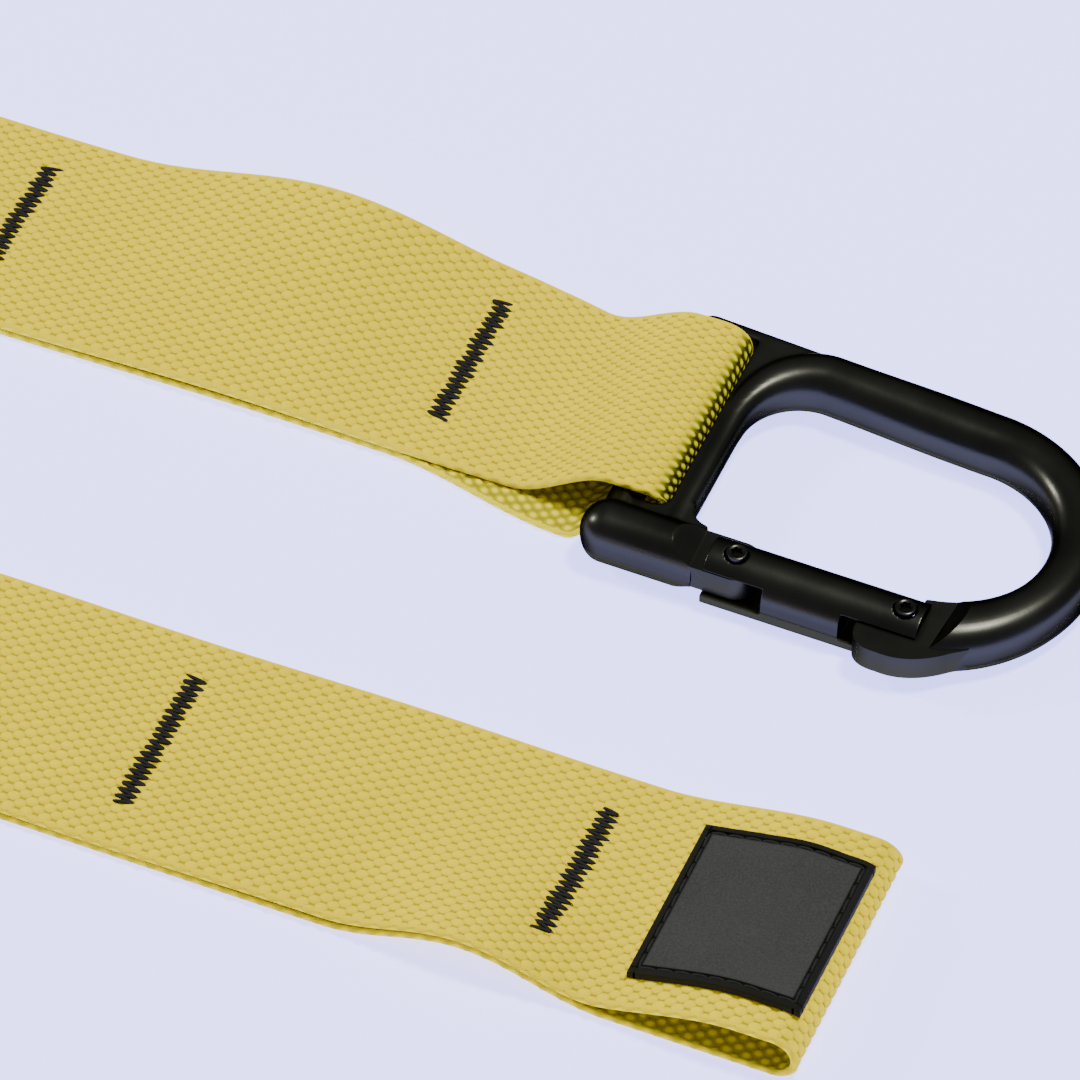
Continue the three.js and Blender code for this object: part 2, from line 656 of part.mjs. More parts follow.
// A compression spring between the plunger and the end of its bore.
class SpringCurve extends THREE.Curve {
  constructor(radius, start, length, turns) {
    super();
    Object.assign(this, { radius, start, length, turns });
  }

  getPoint(t, target = new THREE.Vector3()) {
    const angle = t * this.turns * 2 * Math.PI;
    const x = this.start + t * this.length;
    return target.set(x, GATE.y + this.radius * Math.cos(angle), this.radius * Math.sin(angle));
  }
}

function springSolid() {
  const wire = 0.22;
  const start = plungerFront + PLUNGER_LENGTH + GAP + wire;
  const turns = 6;
  const curve = new SpringCurve(PLUNGER_RADIUS - wire - 0.1, start, BORE_END - GAP - wire - start, turns);
  const section = new THREE.Shape().absarc(0, 0, wire, 0, 2 * Math.PI, false);
  const options = { steps: turns * 9, curveSegments: 3, extrudePath: curve, bevelEnabled: false };
  return solid(new THREE.ExtrudeGeometry(section, options));
}

// ---- Assembly ----

function strapGroup() {
  const group = new THREE.Group();
  const slots = tackPositions.map((position) => tackSolid(position, GAP));
  group.add(mesh('webbing', geometryOf(cut(webbingSolid(), ...slots)), YELLOW, 0.85, 0));
  tackPositions.forEach((position, i) => {
    const name = `bar_tack_${String(i + 1).padStart(2, '0')}`;
    group.add(mesh(name, geometryOf(tackSolid(position)), 0x171716, 0.8, 0));
  });
  group.add(mesh('patch', geometryOf(patchSolid()), 0x3e403d, 0.75, 0));
  group.add(mesh('patch_stitching', geometryOf(stitchingSolid()), 0x171716, 0.8, 0));
  return group;
}

function carabinerGroup() {
  const group = new THREE.Group();
  const pieces = [
    ['carabiner_body', carabinerSolid(), BLACK_METAL, 0.4, 0.5],
    ['gate', gateSolid(), BLACK_METAL, 0.38, 0.5],
    ['hinge_screw', screwSolid(HINGE_X, -5.9), BLACK_METAL, 0.35, 0.8],
    ['hinge_nut', nutSolid(HINGE_X, HINGE_NUT_BOTTOM), BLACK_METAL, 0.35, 0.8],
    ['latch_screw', screwSolid(LATCH_X, -5.6), BLACK_METAL, 0.35, 0.8],
    ['latch_nut', nutSolid(LATCH_X, LATCH_NUT_BOTTOM), BLACK_METAL, 0.35, 0.8],
    ['gate_spring', springSolid(), 0x8d8f92, 0.3, 1],
    ['spring_plunger', plungerSolid(), 0x8d8f92, 0.3, 1],
  ];
  for (const [name, body, ...finish] of pieces) group.add(mesh(name, geometryOf(body), ...finish));
  group.position.set(0, SLOT_MIDDLE_Y, BAR_HEIGHT);
  group.rotation.y = NOSE_DOWN;
  return group;
}

const assembly = new THREE.Group();
assembly.add(strapGroup(), carabinerGroup());
const footprint = new THREE.Box3().setFromObject(assembly, true);
const middle = footprint.getCenter(new THREE.Vector3());
assembly.position.set(-middle.x, -middle.y, -footprint.min.z);

export default assembly;
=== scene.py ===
"""Looks for the daisy-chain hanging strap: webbing, bar tacks, rubber patch and black carabiner.

Shapes are worked out in millimetres. The strap is described by a distance along it, a distance
across it and a height above the surface, and the carabiner in its own frame, whose origin, Y and Z
are the axis that it swings on and the direction of the gate's hinge.
"""

import json
import math

import bmesh
import bpy
import numpy as np
from mathutils import Matrix, Vector


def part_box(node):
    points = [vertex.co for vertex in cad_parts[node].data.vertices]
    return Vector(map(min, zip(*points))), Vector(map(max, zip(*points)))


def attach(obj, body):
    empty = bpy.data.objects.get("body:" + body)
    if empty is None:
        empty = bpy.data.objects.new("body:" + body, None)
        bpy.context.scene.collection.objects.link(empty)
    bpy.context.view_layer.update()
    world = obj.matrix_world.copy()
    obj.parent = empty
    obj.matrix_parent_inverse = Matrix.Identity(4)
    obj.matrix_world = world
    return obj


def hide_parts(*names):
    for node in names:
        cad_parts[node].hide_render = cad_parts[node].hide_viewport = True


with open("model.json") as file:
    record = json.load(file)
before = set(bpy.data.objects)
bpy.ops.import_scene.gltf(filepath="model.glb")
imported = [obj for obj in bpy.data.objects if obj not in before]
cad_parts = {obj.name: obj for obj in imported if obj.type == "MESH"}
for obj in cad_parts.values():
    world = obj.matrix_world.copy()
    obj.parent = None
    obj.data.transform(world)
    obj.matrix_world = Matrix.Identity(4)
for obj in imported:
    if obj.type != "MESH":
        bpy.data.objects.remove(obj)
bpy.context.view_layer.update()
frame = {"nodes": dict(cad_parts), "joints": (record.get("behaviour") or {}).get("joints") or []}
rng = np.random.default_rng(7)

# ---- What the frame says ----

joints = {joint["name"]: joint for joint in frame["joints"]}
swing = np.array(joints["carabiner_swing"]["pos_m"]) * 1000
hook_z = np.array(joints["gate_hinge"]["axis"])
hook_y = -np.array(joints["carabiner_swing"]["axis"])
hook_x = np.cross(hook_y, hook_z)


def box_mm(node):
    low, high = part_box(node)
    return np.array(low) * 1000, np.array(high) * 1000


# ---- Strap dimensions, in millimetres ----

WIDTH = 50.0
THICKNESS = 1.3
TURN_RADIUS = 53.7
TWIST_LENGTH = 100.0
POCKET_OPENING = 0.5
BAR_HEIGHT = swing[2]
LAYER_GAP = 0.3
HOOK_OFFSET = 3.7  # of the carabiner's middle from the strap's, towards the inside of the U-turn

half_width = WIDTH / 2
half_thickness = THICKNESS / 2
lower_height = half_thickness
sewn_height = lower_height + THICKNESS + LAYER_GAP
origin = swing - np.array([0, TURN_RADIUS - HOOK_OFFSET, BAR_HEIGHT])
turn_length = math.pi * TURN_RADIUS
patch_end_x = box_mm("webbing")[1][0] - half_thickness - origin[0]


def flat_tack_x(number):
    low, high = box_mm(f"bar_tack_{number:02d}")
    return (low[0] + high[0]) / 2 - origin[0]


first_tack = -flat_tack_x(1)
second_tack = -flat_tack_x(2)
pocket_pitch = flat_tack_x(10) - flat_tack_x(9)
turn_start = -box_mm("webbing")[0][0] + origin[0] - TURN_RADIUS - sewn_height - half_thickness
strap_length = 2 * turn_start + turn_length + patch_end_x
tack_positions = [first_tack] + [second_tack + i * pocket_pitch for i in range(9)]


# ---- Arithmetic on arrays ----


def lerp(a, b, share):
    return a + (b - a) * share


def smoothstep(x, low, high):
    t = np.clip((x - low) / (high - low), 0, 1)
    return t * t * (3 - 2 * t)


# ---- The strap's own coordinates ----

WAVES = [  # where each starts to fade, how far it reaches and how high each edge is lifted
    {"at": 78, "reach": 46, "outer": 7.6, "inner": 0.6},
    {"at": strap_length - 62, "reach": 27, "outer": 6.2, "inner": 0},
]


def wave_height(distance, across):
    height = 0
    for wave in WAVES:
        along = np.clip((distance - wave["at"]) / wave["reach"], -1, 1)
        outward = np.clip((1 + across / half_width) / 2, 0, 1)
        edge = lerp(wave["inner"], wave["outer"], outward**1.6)
        height = height + (1 + np.cos(math.pi * along)) / 2 * edge
    return height


def standing(distance):
    """How far the strap has turned about its length: 0 flat, 1 on edge."""
    turn_end = turn_start + turn_length
    rising = smoothstep(distance, turn_start - TWIST_LENGTH, turn_start)
    return rising - smoothstep(distance, turn_end, turn_end + TWIST_LENGTH)


def strap_point(distance, across, height):
    turn = np.clip((distance - turn_start) / TURN_RADIUS, 0, math.pi)
    beyond = np.maximum(distance - turn_start - turn_length, 0)
    angle = standing(distance) * math.pi / 2
    radius = TURN_RADIUS + across * np.cos(angle) + height * np.sin(angle)
    edge_lift = half_width * np.sin(angle) + wave_height(distance, across) * np.cos(angle)
    x = beyond - np.minimum(distance, turn_start) - np.sin(turn) * radius
    y = np.cos(turn) * radius
    z = edge_lift - across * np.sin(angle) + height * np.cos(angle)
    return np.stack([x, y, z], -1) + origin


# ---- Meshes from grids of points ----


def grid_faces(rows, columns, wrap_rows=False, wrap_columns=False):
    row = np.arange(rows if wrap_rows else rows - 1)
    column = np.arange(columns if wrap_columns else columns - 1)
    i, j = np.meshgrid(row, column, indexing="ij")
    next_i, next_j = (i + 1) % rows, (j + 1) % columns
    here, following = i * columns, next_i * columns
    quads = np.stack([here + j, following + j, following + next_j, here + next_j], -1)
    return quads.reshape(-1, 4)


def volume_sign(points, quads):
    """1 if the faces of a closed mesh point outward, -1 if they point inward."""
    a, b, c, d = (points[quads[:, k]] for k in range(4))
    return np.sign(np.sum(np.cross(b - a, c - a) * a) + np.sum(np.cross(c - a, d - a) * a))


def object_from(name, points, faces, scale=0.001):
    mesh = bpy.data.meshes.new(name)
    if isinstance(faces, np.ndarray):
        faces = faces.tolist()
    mesh.from_pydata((np.asarray(points, float) * scale).tolist(), [], faces)
    mesh.update()
    piece = bpy.data.objects.new(name, mesh)
    bpy.context.scene.collection.objects.link(piece)
    return piece


def closed_tube(points):
    """Points and faces of a grid whose columns close, with its two ends capped."""
    rows, columns = points.shape[:2]
    flat = points.reshape(-1, 3)
    quads = grid_faces(rows, columns, wrap_columns=True)
    first, last = list(range(columns)), list(range((rows - 1) * columns, rows * columns))
    if volume_sign(flat - flat.mean(0), quads) < 0:
        quads = quads[:, ::-1]
        last.reverse()
    else:
        first.reverse()
    return flat, [*quads.tolist(), first, last]


def merged(parts):
    """Joins several (points, faces) lists into one."""
    points, faces, count = [], [], 0
    for part_points, part_faces in parts:
        points.append(np.asarray(part_points))
        faces += [[index + count for index in face] for face in part_faces]
        count += len(part_points)
    return np.concatenate(points), faces


def add_point_attribute(piece, name, values):
    attribute = piece.data.attributes.new(name, "FLOAT", "POINT")
    attribute.data.foreach_set("value", np.asarray(values, np.float32).ravel())


def smooth_shaded(piece, angle=None):
    """Smooth everywhere, or only where two faces meet at less than an angle in degrees."""
    piece.data.shade_smooth()
    if angle is not None:
        piece.data.set_sharp_from_angle(angle=math.radians(angle))


def ride(piece, body, slot, *nodes):
    """Tells the frame what a piece moves with and the nodes that it stands for. slot is not used."""
    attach(piece, body)
    if nodes:
        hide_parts(*nodes)
    return piece


# ---- Materials ----


class Shader:
    """A material with a Principled shader and short calls to add nodes to it."""

    def __init__(self, name, roughness=0.5, **sockets):
        self.material = bpy.data.materials.new(name)
        self.material.use_nodes = True
        self.tree = self.material.node_tree
        self.surface = self.tree.nodes["Principled BSDF"]
        self.set("Roughness", roughness)
        for socket, value in sockets.items():
            self.set(socket.replace("_", " "), value)

    def set(self, socket, value):
        if isinstance(value, bpy.types.NodeSocket):
            self.tree.links.new(value, self.surface.inputs[socket])
        elif isinstance(value, tuple):
            self.surface.inputs[socket].default_value = (*value, 1)
        else:
            self.surface.inputs[socket].default_value = value

    def node(self, kind, output=0, inputs=(), **settings):
        node = self.tree.nodes.new(kind)
        for key, value in settings.items():
            setattr(node, key, value)
        for socket, value in dict(inputs).items():
            if isinstance(value, bpy.types.NodeSocket):
                self.tree.links.new(value, node.inputs[socket])
            else:
                node.inputs[socket].default_value = value
        return node.outputs[output]

    def math(self, operation, a, b=0.0, clamp=False):
        return self.node("ShaderNodeMath", inputs={0: a, 1: b}, operation=operation, use_clamp=clamp)

    def position(self):
        return self.node("ShaderNodeTexCoord", "Object")

    def noise(self, scale, detail=2.0, vector=None):
        inputs = {"Vector": vector or self.position(), "Scale": scale, "Detail": detail}
        return self.node("ShaderNodeTexNoise", "Fac", inputs)

    def range(self, value, low, high, out_low, out_high):
        inputs = {"Value": value, "From Min": low, "From Max": high, "To Min": out_low, "To Max": out_high}
        return self.node("ShaderNodeMapRange", inputs=inputs)

    def mix(self, share, a, b):
        colours = {6: (*a, 1) if isinstance(a, tuple) else a, 7: (*b, 1) if isinstance(b, tuple) else b}
        return self.node("ShaderNodeMix", 2, {0: share, **colours}, data_type="RGBA")

    def bump(self, height, distance_mm, strength=1.0, normal=None):
        inputs = {"Height": height, "Distance": distance_mm / 1000, "Strength": strength}
        if normal:
            inputs["Normal"] = normal
        return self.node("ShaderNodeBump", inputs=inputs)


# The weave is two sets of oval cells. The second set lies between the cells of the first, half a
# cell on along the strap and half a row on across it, and its cells are a little smaller.
CELL_LENGTH = 3.56
ROWS = 21
ROW_PITCH = WIDTH / ROWS
CELL_SETS = [
    {"shift": 0.0, "half_length": 1.3, "half_width": 1.14},
    {"shift": 0.5, "half_length": 1.24, "half_width": 1.08},
]
SELVEDGE = 0.3  # rows at each edge over which the crevices fade


def oval_node(shader, along, across, cell_set):
    """The square of how far a point lies from the middle of its cell, 1 at the cell's edge."""
    long_size = CELL_LENGTH / cell_set["half_length"]
    wide_size = ROW_PITCH / cell_set["half_width"]
    squares = []
    for value, size in ((along, long_size), (across, wide_size)):
        place = shader.math("FRACT", shader.math("ADD", value, cell_set["shift"]))
        offset = shader.math("MULTIPLY", shader.math("SUBTRACT", place, 0.5), size)
        squares.append(shader.math("MULTIPLY", offset, offset))
    return shader.math("ADD", *squares)


def webbing_material():
    """Saturated yellow yarn, with painted shade that darkens it towards the crevices and more in the pits.

    The open attribute says how much painted shade lies between the cells: fully round the bend that faces the
    crossbar, half on the band's inner face. There the crevices are painted near black, and the crowns stand
    out in a lighter, greener yellow, a painted light."""
    shader = Shader("webbing_weave", 0.75)
    coordinates = shader.node("ShaderNodeUVMap", uv_map="weave")
    separate = shader.tree.nodes.new("ShaderNodeSeparateXYZ")
    shader.tree.links.new(coordinates, separate.inputs[0])
    along, across = separate.outputs[0], separate.outputs[1]
    shade_between_cells = shader.node("ShaderNodeAttribute", "Fac", attribute_name="open")
    first, second = (oval_node(shader, along, across, cell_set) for cell_set in CELL_SETS)
    to_edge = shader.math("MINIMUM", across, shader.math("SUBTRACT", float(ROWS), across))
    selvedge = shader.range(to_edge, 0.0, SELVEDGE, 1.0, 0.0)
    dome = shader.math("SUBTRACT", 1.0, shader.math("MINIMUM", first, second), clamp=True)
    crown = shader.math("MAXIMUM", dome, selvedge)
    is_second = shader.math("LESS_THAN", second, first)
    scaling = {0: coordinates, 1: (2.2, 11.0, 1.0)}
    stretched = shader.node("ShaderNodeVectorMath", inputs=scaling, operation="MULTIPLY")
    filaments = shader.noise(1.0, 2.0, stretched)
    smudge = shader.noise(38.0, 3.0)
    face = shader.mix(shader.range(smudge, 0.3, 0.7, 0, 1), (0.95, 0.72, 0.0), (1.0, 0.78, 0.0))
    toned = shader.mix(shader.math("MULTIPLY", is_second, 0.25), face, (0.86, 0.63, 0.0))
    dull = shader.mix(shader.range(filaments, 0.35, 0.7, 0, 0.3), toned, (0.82, 0.58, 0.0))
    # Painted shade: the yarn is painted darker towards the crevices between the cells, and darker still in
    # the pits.
    shaded = shader.mix(shader.range(crown, 0.05, 0.5, 0.55, 0.0), dull, (0.60, 0.47, 0.0))
    pit_shade = shader.mix(shader.range(crown, 0.0, 0.08, 0.7, 0.0), shaded, (0.36, 0.28, 0.0))
    # Where the open attribute puts painted shade, the crowns are painted a lighter, greener yellow as painted
    # light, and the gaps round them near black as painted shade.
    crown_light_in_shade = shader.mix(shade_between_cells, pit_shade, (0.95, 0.88, 0.03))
    painted_gap_shade = shader.math("MULTIPLY", shade_between_cells, shader.range(crown, 0.55, 0.95, 1.0, 0.0))
    shader.set("Base Color", shader.mix(painted_gap_shade, crown_light_in_shade, (0.05, 0.047, 0.004)))
    shader.set("Roughness", shader.range(filaments, 0.3, 0.7, 0.65, 0.85))
    shader.set("Specular IOR Level", 0.03)
    coarse = shader.bump(shader.math("POWER", crown, 0.6), 0.3, 1.0)
    shader.set("Normal", shader.bump(filaments, 0.07, 0.9, coarse))
    return shader.material


def thread_material():
    shader = Shader("black_thread", 0.7)
    tone = shader.noise(900.0, 2.0)
    shader.set("Base Color", shader.mix(tone, (0.002, 0.002, 0.002), (0.012, 0.011, 0.010)))
    shader.set("Specular IOR Level", 0.25)
    shader.set("Sheen Weight", 0.05)
    shader.set("Sheen Roughness", 0.4)
    shader.set("Normal", shader.bump(shader.noise(2500.0, 2.0), 0.06, 0.6))
    return shader.material


def rubber_material():
    """The rim attribute is 1 on the border and in the groove, and 0 on the field inside them."""
    shader = Shader("patch_rubber", 0.75)
    rim = shader.node("ShaderNodeAttribute", "Fac", attribute_name="rim")
    grain = shader.noise(2600.0, 3.0)
    cloud = shader.noise(60.0, 3.0)
    field = shader.mix(shader.range(cloud, 0.3, 0.7, 0, 1), (0.027, 0.028, 0.025), (0.036, 0.037, 0.034))
    speckled = shader.mix(shader.range(grain, 0.35, 0.75, 0, 0.6), field, (0.058, 0.060, 0.053))
    shader.set("Base Color", shader.mix(rim, speckled, (0.006, 0.006, 0.003)))
    shader.set("Roughness", shader.range(cloud, 0.3, 0.7, 0.68, 0.82))
    shader.set("Specular IOR Level", 0.15)
    shader.set("Normal", shader.bump(grain, 0.06, 0.5))
    return shader.material


def casting_material(name, base, roughness, band=None):
    """Satin black coating: slight orange peel, uneven gloss, and below the parting line a rougher band
    painted a lighter grey, a painted reflection of the pale floor on the lower sides.

    As a dark metal with a dark edge tint it keeps its highlights and hardly mirrors the pale floor."""
    shader = Shader(name, roughness, Metallic=1.0)
    cloud = shader.noise(55.0, 4.0)
    fine = shader.noise(1500.0, 3.0)
    colour = shader.mix(shader.range(cloud, 0.35, 0.7, 0, 0.5), base, tuple(1.4 * c for c in base))
    gloss = shader.range(cloud, 0.3, 0.7, roughness - 0.05, roughness + 0.07)
    if band:
        low = shader.node("ShaderNodeAttribute", "Fac", attribute_name="below_parting")
        # Painted reflection: below the parting line the colour turns a lighter grey, standing in for the pale
        # floor seen in the lower sides. The finish there is also rougher.
        colour = shader.mix(low, colour, band)
        gloss = shader.math("ADD", gloss, shader.math("MULTIPLY", low, 0.2))
    shader.set("Base Color", colour)
    shader.set("Roughness", gloss)
    shader.set("Specular Tint", (0.12, 0.12, 0.08))
    peel = shader.bump(shader.noise(420.0, 2.0), 0.05, 0.25)
    shader.set("Normal", shader.bump(fine, 0.02, 0.35, peel))
    return shader.material


def steel_material():
    shader = Shader("spring_steel", 0.3, Metallic=1.0)
    tone = shader.noise(400.0, 2.0)
    shader.set("Base Color", shader.mix(tone, (0.5, 0.5, 0.5), (0.62, 0.62, 0.63)))
    shader.set("Roughness", shader.range(tone, 0.3, 0.7, 0.22, 0.38))
    return shader.material


# ---- Webbing ----

# The fold round the bar reaches past it, rises over it and drops below it. Its upper half is squarer
# than a circle. The end fold opens into a flat loop. The edges are where the carabiner's slot
# squeezes the band, under the bar and over it.
FOLD = {"reach": 7.1, "rise": 4.4, "drop": BAR_HEIGHT - lower_height, "squareness": 0.7}
FOLD_SPAN = {"from": 3, "to": 23}  # where the upper layer comes down from over the bar
END_LOOP = {"reach": 4.4, "half_height": 4.3, "opens_from": 45, "open_by": 11}
SQUEEZED = {"outer": 18.6, "inner": -22.6}
OVER_BAR = {"outer": 20.2, "inner": -24.9}
LEANING = {"outer": 5.7, "inner": 6.3}  # how far the lower layer's edges lie off to one side
PUCKER = {"depth": 0.35, "reach": 3.2, "from": 15, "to": 19}  # round a tack, and out to its ends
RELIEF = 0.25  # of the weave, from its crevices to its crowns
SELVEDGE_KNOB = 0.3  # half the height of the loops along each edge
CROWN_STAND = 0.08  # of the crowns above the webbing's nominal face
# Painted shade between the weave's cells: its share on the band's inner face, and the distances past the bar
# over which it grows to full round the bend.
GAP_SHADE_INSIDE = 0.5
GAP_SHADE_BEND = {"from": 4.8, "to": 6.6}  # beyond the bar


def end_half_height(across):
    return END_LOOP["half_height"] * (0.9 + 0.1 * across / half_width)


def pocket_opening(distance):
    opening = np.zeros_like(distance)
    for start, end in zip(tack_positions, tack_positions[1:]):
        share = np.clip((distance - start) / (end - start), 0, 1)
        opening += POCKET_OPENING * np.sin(math.pi * share) ** 2
    return opening


def upper_height(distance, across):
    at_bar = BAR_HEIGHT + FOLD["rise"] - sewn_height
    over_bar = at_bar * (1 - smoothstep(distance, FOLD_SPAN["from"], FOLD_SPAN["to"]))
    at_end = lower_height + 2 * end_half_height(across) - sewn_height
    opening, crown_light_in_shade = strap_length - END_LOOP["opens_from"], strap_length - END_LOOP["open_by"]
    over_end = at_end * smoothstep(distance, opening, crown_light_in_shade)
    return sewn_height + over_bar + over_end + pocket_opening(distance)


def upper_edges(distance):
    outer = lerp(OVER_BAR["outer"], half_width, smoothstep(distance, 7, 42))
    inner = lerp(OVER_BAR["inner"], -half_width, smoothstep(distance, 7, 20))
    return outer, inner


def lower_edges(distance):
    free = smoothstep(distance, 1, 9)
    leaning = free * (1 - smoothstep(distance, 9, 48))
    outer = lerp(SQUEEZED["outer"], half_width, free) - LEANING["outer"] * leaning
    inner = lerp(SQUEEZED["inner"], -half_width, free) - LEANING["inner"] * leaning
    return outer, inner


def band_stations(share):
    """Distance, edges and heights of the band's middle, all the way round in small steps.

    share runs across the band from 0 at its inner edge to 1 at its outer one."""
    step = 0.08
    straight = np.arange(0, strap_length - END_LOOP["reach"], step)
    angle = np.linspace(-math.pi / 2, math.pi / 2, 200, endpoint=False)
    spread = np.maximum(np.sin(angle), 0) ** FOLD["squareness"]
    outward = np.where(angle < 0, np.cos(angle), np.abs(np.cos(angle)) ** FOLD["squareness"])
    rise = np.where(angle < 0, np.sin(angle) * FOLD["drop"], spread * FOLD["rise"])
    fold_outer = lerp(SQUEEZED["outer"], OVER_BAR["outer"], spread)
    fold_inner = lerp(SQUEEZED["inner"], OVER_BAR["inner"], spread)
    fold_across = lerp(fold_inner[:, None], fold_outer[:, None], share)
    fold_height = BAR_HEIGHT + rise
    fold = [-FOLD["reach"] * outward, fold_across, fold_height[:, None] + 0 * fold_across]

    outer, inner = upper_edges(straight)
    across = lerp(inner[:, None], outer[:, None], share)
    upper = [straight, across, upper_height(straight[:, None], across)]

    loop_angle = np.linspace(math.pi / 2, -math.pi / 2, 160, endpoint=False)
    loop_across = lerp(-half_width, half_width, share) + 0 * loop_angle[:, None]
    loop_distance = strap_length - END_LOOP["reach"] * (1 - np.cos(loop_angle))
    loop_height = lower_height + end_half_height(loop_across) * (1 + np.sin(loop_angle[:, None]))
    loop = [loop_distance, loop_across, loop_height]

    back = straight[::-1]
    outer, inner = lower_edges(back)
    across = lerp(inner[:, None], outer[:, None], share)
    lower = [back, across, lower_height + 0 * across]
    return [np.concatenate(parts) for parts in zip(fold, upper, loop, lower)]


def pucker(distance, across):
    """The upper layer is drawn down along each bar tack."""
    depth = 0
    for position in tack_positions:
        near = np.exp(-(((distance - position) / PUCKER["reach"]) ** 2))
        inside = 1 - smoothstep(np.abs(across), PUCKER["from"], PUCKER["to"])
        depth = depth + PUCKER["depth"] * near * inside
    return depth


def weave_depth(distance):
    """The weave opens where the band bends, round the bar and round its end."""
    round_bar = np.exp(-(((distance + 4) / 9) ** 2))
    round_end = np.exp(-(((strap_length - distance) / 12) ** 2))
    return 1 + 0.8 * (round_bar + 0.6 * round_end)


def weave_crown(cells, rows):
    """1 on the crown of a cell of the weave and 0 in the crevices round it."""
    crown = 0 * cells * rows
    for cell_set in CELL_SETS:
        along = ((cells + cell_set["shift"]) % 1 - 0.5) * CELL_LENGTH / cell_set["half_length"]
        across = ((rows + cell_set["shift"]) % 1 - 0.5) * ROW_PITCH / cell_set["half_width"]
        crown = np.maximum(crown, 1 - along**2 - across**2)
    selvedge = 1 - np.minimum(rows, ROWS - rows) / SELVEDGE
    return np.maximum(crown, selvedge) ** 0.7


CELL_STEPS = 6
ROW_STEPS = 4


def webbing_band():
    """One closed band with the weave's relief on both faces.

    Each row of points goes round the band's section: the outer face from its inner edge to its outer
    one, the outer edge, the inner face back, and the inner edge."""
    columns = ROW_STEPS * ROWS + 1
    share = np.linspace(0, 1, columns)
    distance, across, height = band_stations(share)
    middle = columns // 2
    loop = np.append(np.arange(len(distance)), 0)
    run = np.hypot(np.diff(distance[loop]), np.diff(height[loop, middle]))
    arc = np.concatenate([[0], np.cumsum(run)])
    cells = round(arc[-1] / CELL_LENGTH)
    rows = CELL_STEPS * cells
    place = np.interp(np.arange(rows) / rows * arc[-1], arc, np.arange(len(arc)))
    low = np.floor(place).astype(int) % len(distance)
    high = (low + 1) % len(distance)
    part = place - np.floor(place)
    distance = lerp(distance[low], distance[high], part)
    across = lerp(across[low], across[high], part[:, None])
    height = lerp(height[low], height[high], part[:, None])

    forward = (np.roll(distance, -1) - np.roll(distance, 1))[:, None]
    upward = np.roll(height, -1, 0) - np.roll(height, 1, 0)
    length = np.hypot(forward, upward)
    forward, upward = forward / length, upward / length
    cell = np.arange(rows)[:, None] / CELL_STEPS
    crown = weave_crown(cell, share * ROWS)
    relief = RELIEF * weave_depth(distance)[:, None] * (crown - 1) + CROWN_STAND
    is_upper = (height > lower_height + 0.8) & (forward > 0)
    drawn = np.where(is_upper, pucker(distance[:, None] + 0 * across, across), 0)
    faces = []
    for side in (1, -1):
        reach = half_thickness + relief
        faces.append((distance[:, None] - side * reach * upward, height - drawn + side * reach * forward))
    knob = SELVEDGE_KNOB * (1 + np.cos(2 * math.pi * cell))
    points = np.empty((rows, 2 * columns + 2, 3))
    points[:, :columns] = strap_point(faces[0][0], across, faces[0][1])
    outside = across[:, -1:] + knob
    points[:, columns] = strap_point(distance[:, None], outside, height[:, -1:] - drawn[:, -1:])[:, 0]
    points[:, columns + 1 : -1] = strap_point(faces[1][0], across, faces[1][1])[:, ::-1]
    inside = across[:, :1] - knob
    points[:, -1] = strap_point(distance[:, None], inside, height[:, :1] - drawn[:, :1])[:, 0]
    # The share of painted shade between the cells: half over the inner face, and full round the bend beyond
    # the bar.
    shade_between_cells = np.full(points.shape[:2], GAP_SHADE_INSIDE)
    shade_between_cells[:, : columns + 1] = smoothstep(-distance, GAP_SHADE_BEND["from"], GAP_SHADE_BEND["to"])[:, None]
    return points, share, arc[-1], shade_between_cells


def add_weave_map(piece, quads, rows, share):
    """Texture coordinates counted in cells along the band and rows of the weave across it."""
    columns = 2 * len(share) + 2
    v = np.concatenate([share, [1.0], share[::-1], [0.0]]) * ROWS
    row, column = quads // columns, quads % columns
    wrapped = (row == 0) & (row.max(1, keepdims=True) == rows - 1) & (row.min(1, keepdims=True) == 0)
    u = np.where(wrapped, rows, row) / CELL_STEPS
    layer = piece.data.uv_layers.new(name="weave")
    layer.data.foreach_set("uv", np.stack([u, v[column]], -1).astype(np.float32).ravel())


def build_webbing():
    points, share, length, shade_between_cells = webbing_band()
    rows, columns = points.shape[:2]
    quads = grid_faces(rows, columns, wrap_rows=True, wrap_columns=True)
    flat = points.reshape(-1, 3)
    if volume_sign(flat, quads) < 0:
        quads = quads[:, ::-1]
    piece = object_from("webbing_band", flat, quads)
    add_weave_map(piece, quads, rows, share)
    # The open attribute carries the share of painted shade between the weave's cells.
    add_point_attribute(piece, "open", shade_between_cells)
    smooth_shaded(piece)
    piece.data.materials.append(webbing_material())
    return ride(piece, "strap", "webbing_yellow", "webbing"), length / 1000


# ---- Bar tacks ----

TACK_LENGTH = 32.0
STITCH_SCATTER = {"reach": 0.4, "across": 0.12}
THREAD_RISE = {"height": 0.34, "sunk": 0.22}  # of the middle of a stitch, and of its ends
TACK_OFFSET = 0.9
STITCH_REACH = 2.15
STITCHES = 21
THREAD_RADIUS = 0.4


def swept(path, radius_out, radius_up, up, sides=6):
    """A tube along points, wider across than it is high."""
    along = np.gradient(path, axis=0)
    along /= np.linalg.norm(along, axis=1, keepdims=True)
    out = np.cross(along, up)
    out /= np.linalg.norm(out, axis=1, keepdims=True)
    angle = np.arange(sides) / sides * 2 * math.pi
    ring = np.cos(angle)[None, :, None] * out[:, None] * radius_out
    ring = ring + np.sin(angle)[None, :, None] * up[:, None] * radius_up
    return closed_tube(path[:, None] + ring)


def strap_up(distance, across, height):
    """The direction in which height grows."""
    step = 0.05
    rise = strap_point(distance, across, height + step) - strap_point(distance, across, height)
    return rise / np.linalg.norm(rise, axis=-1, keepdims=True)


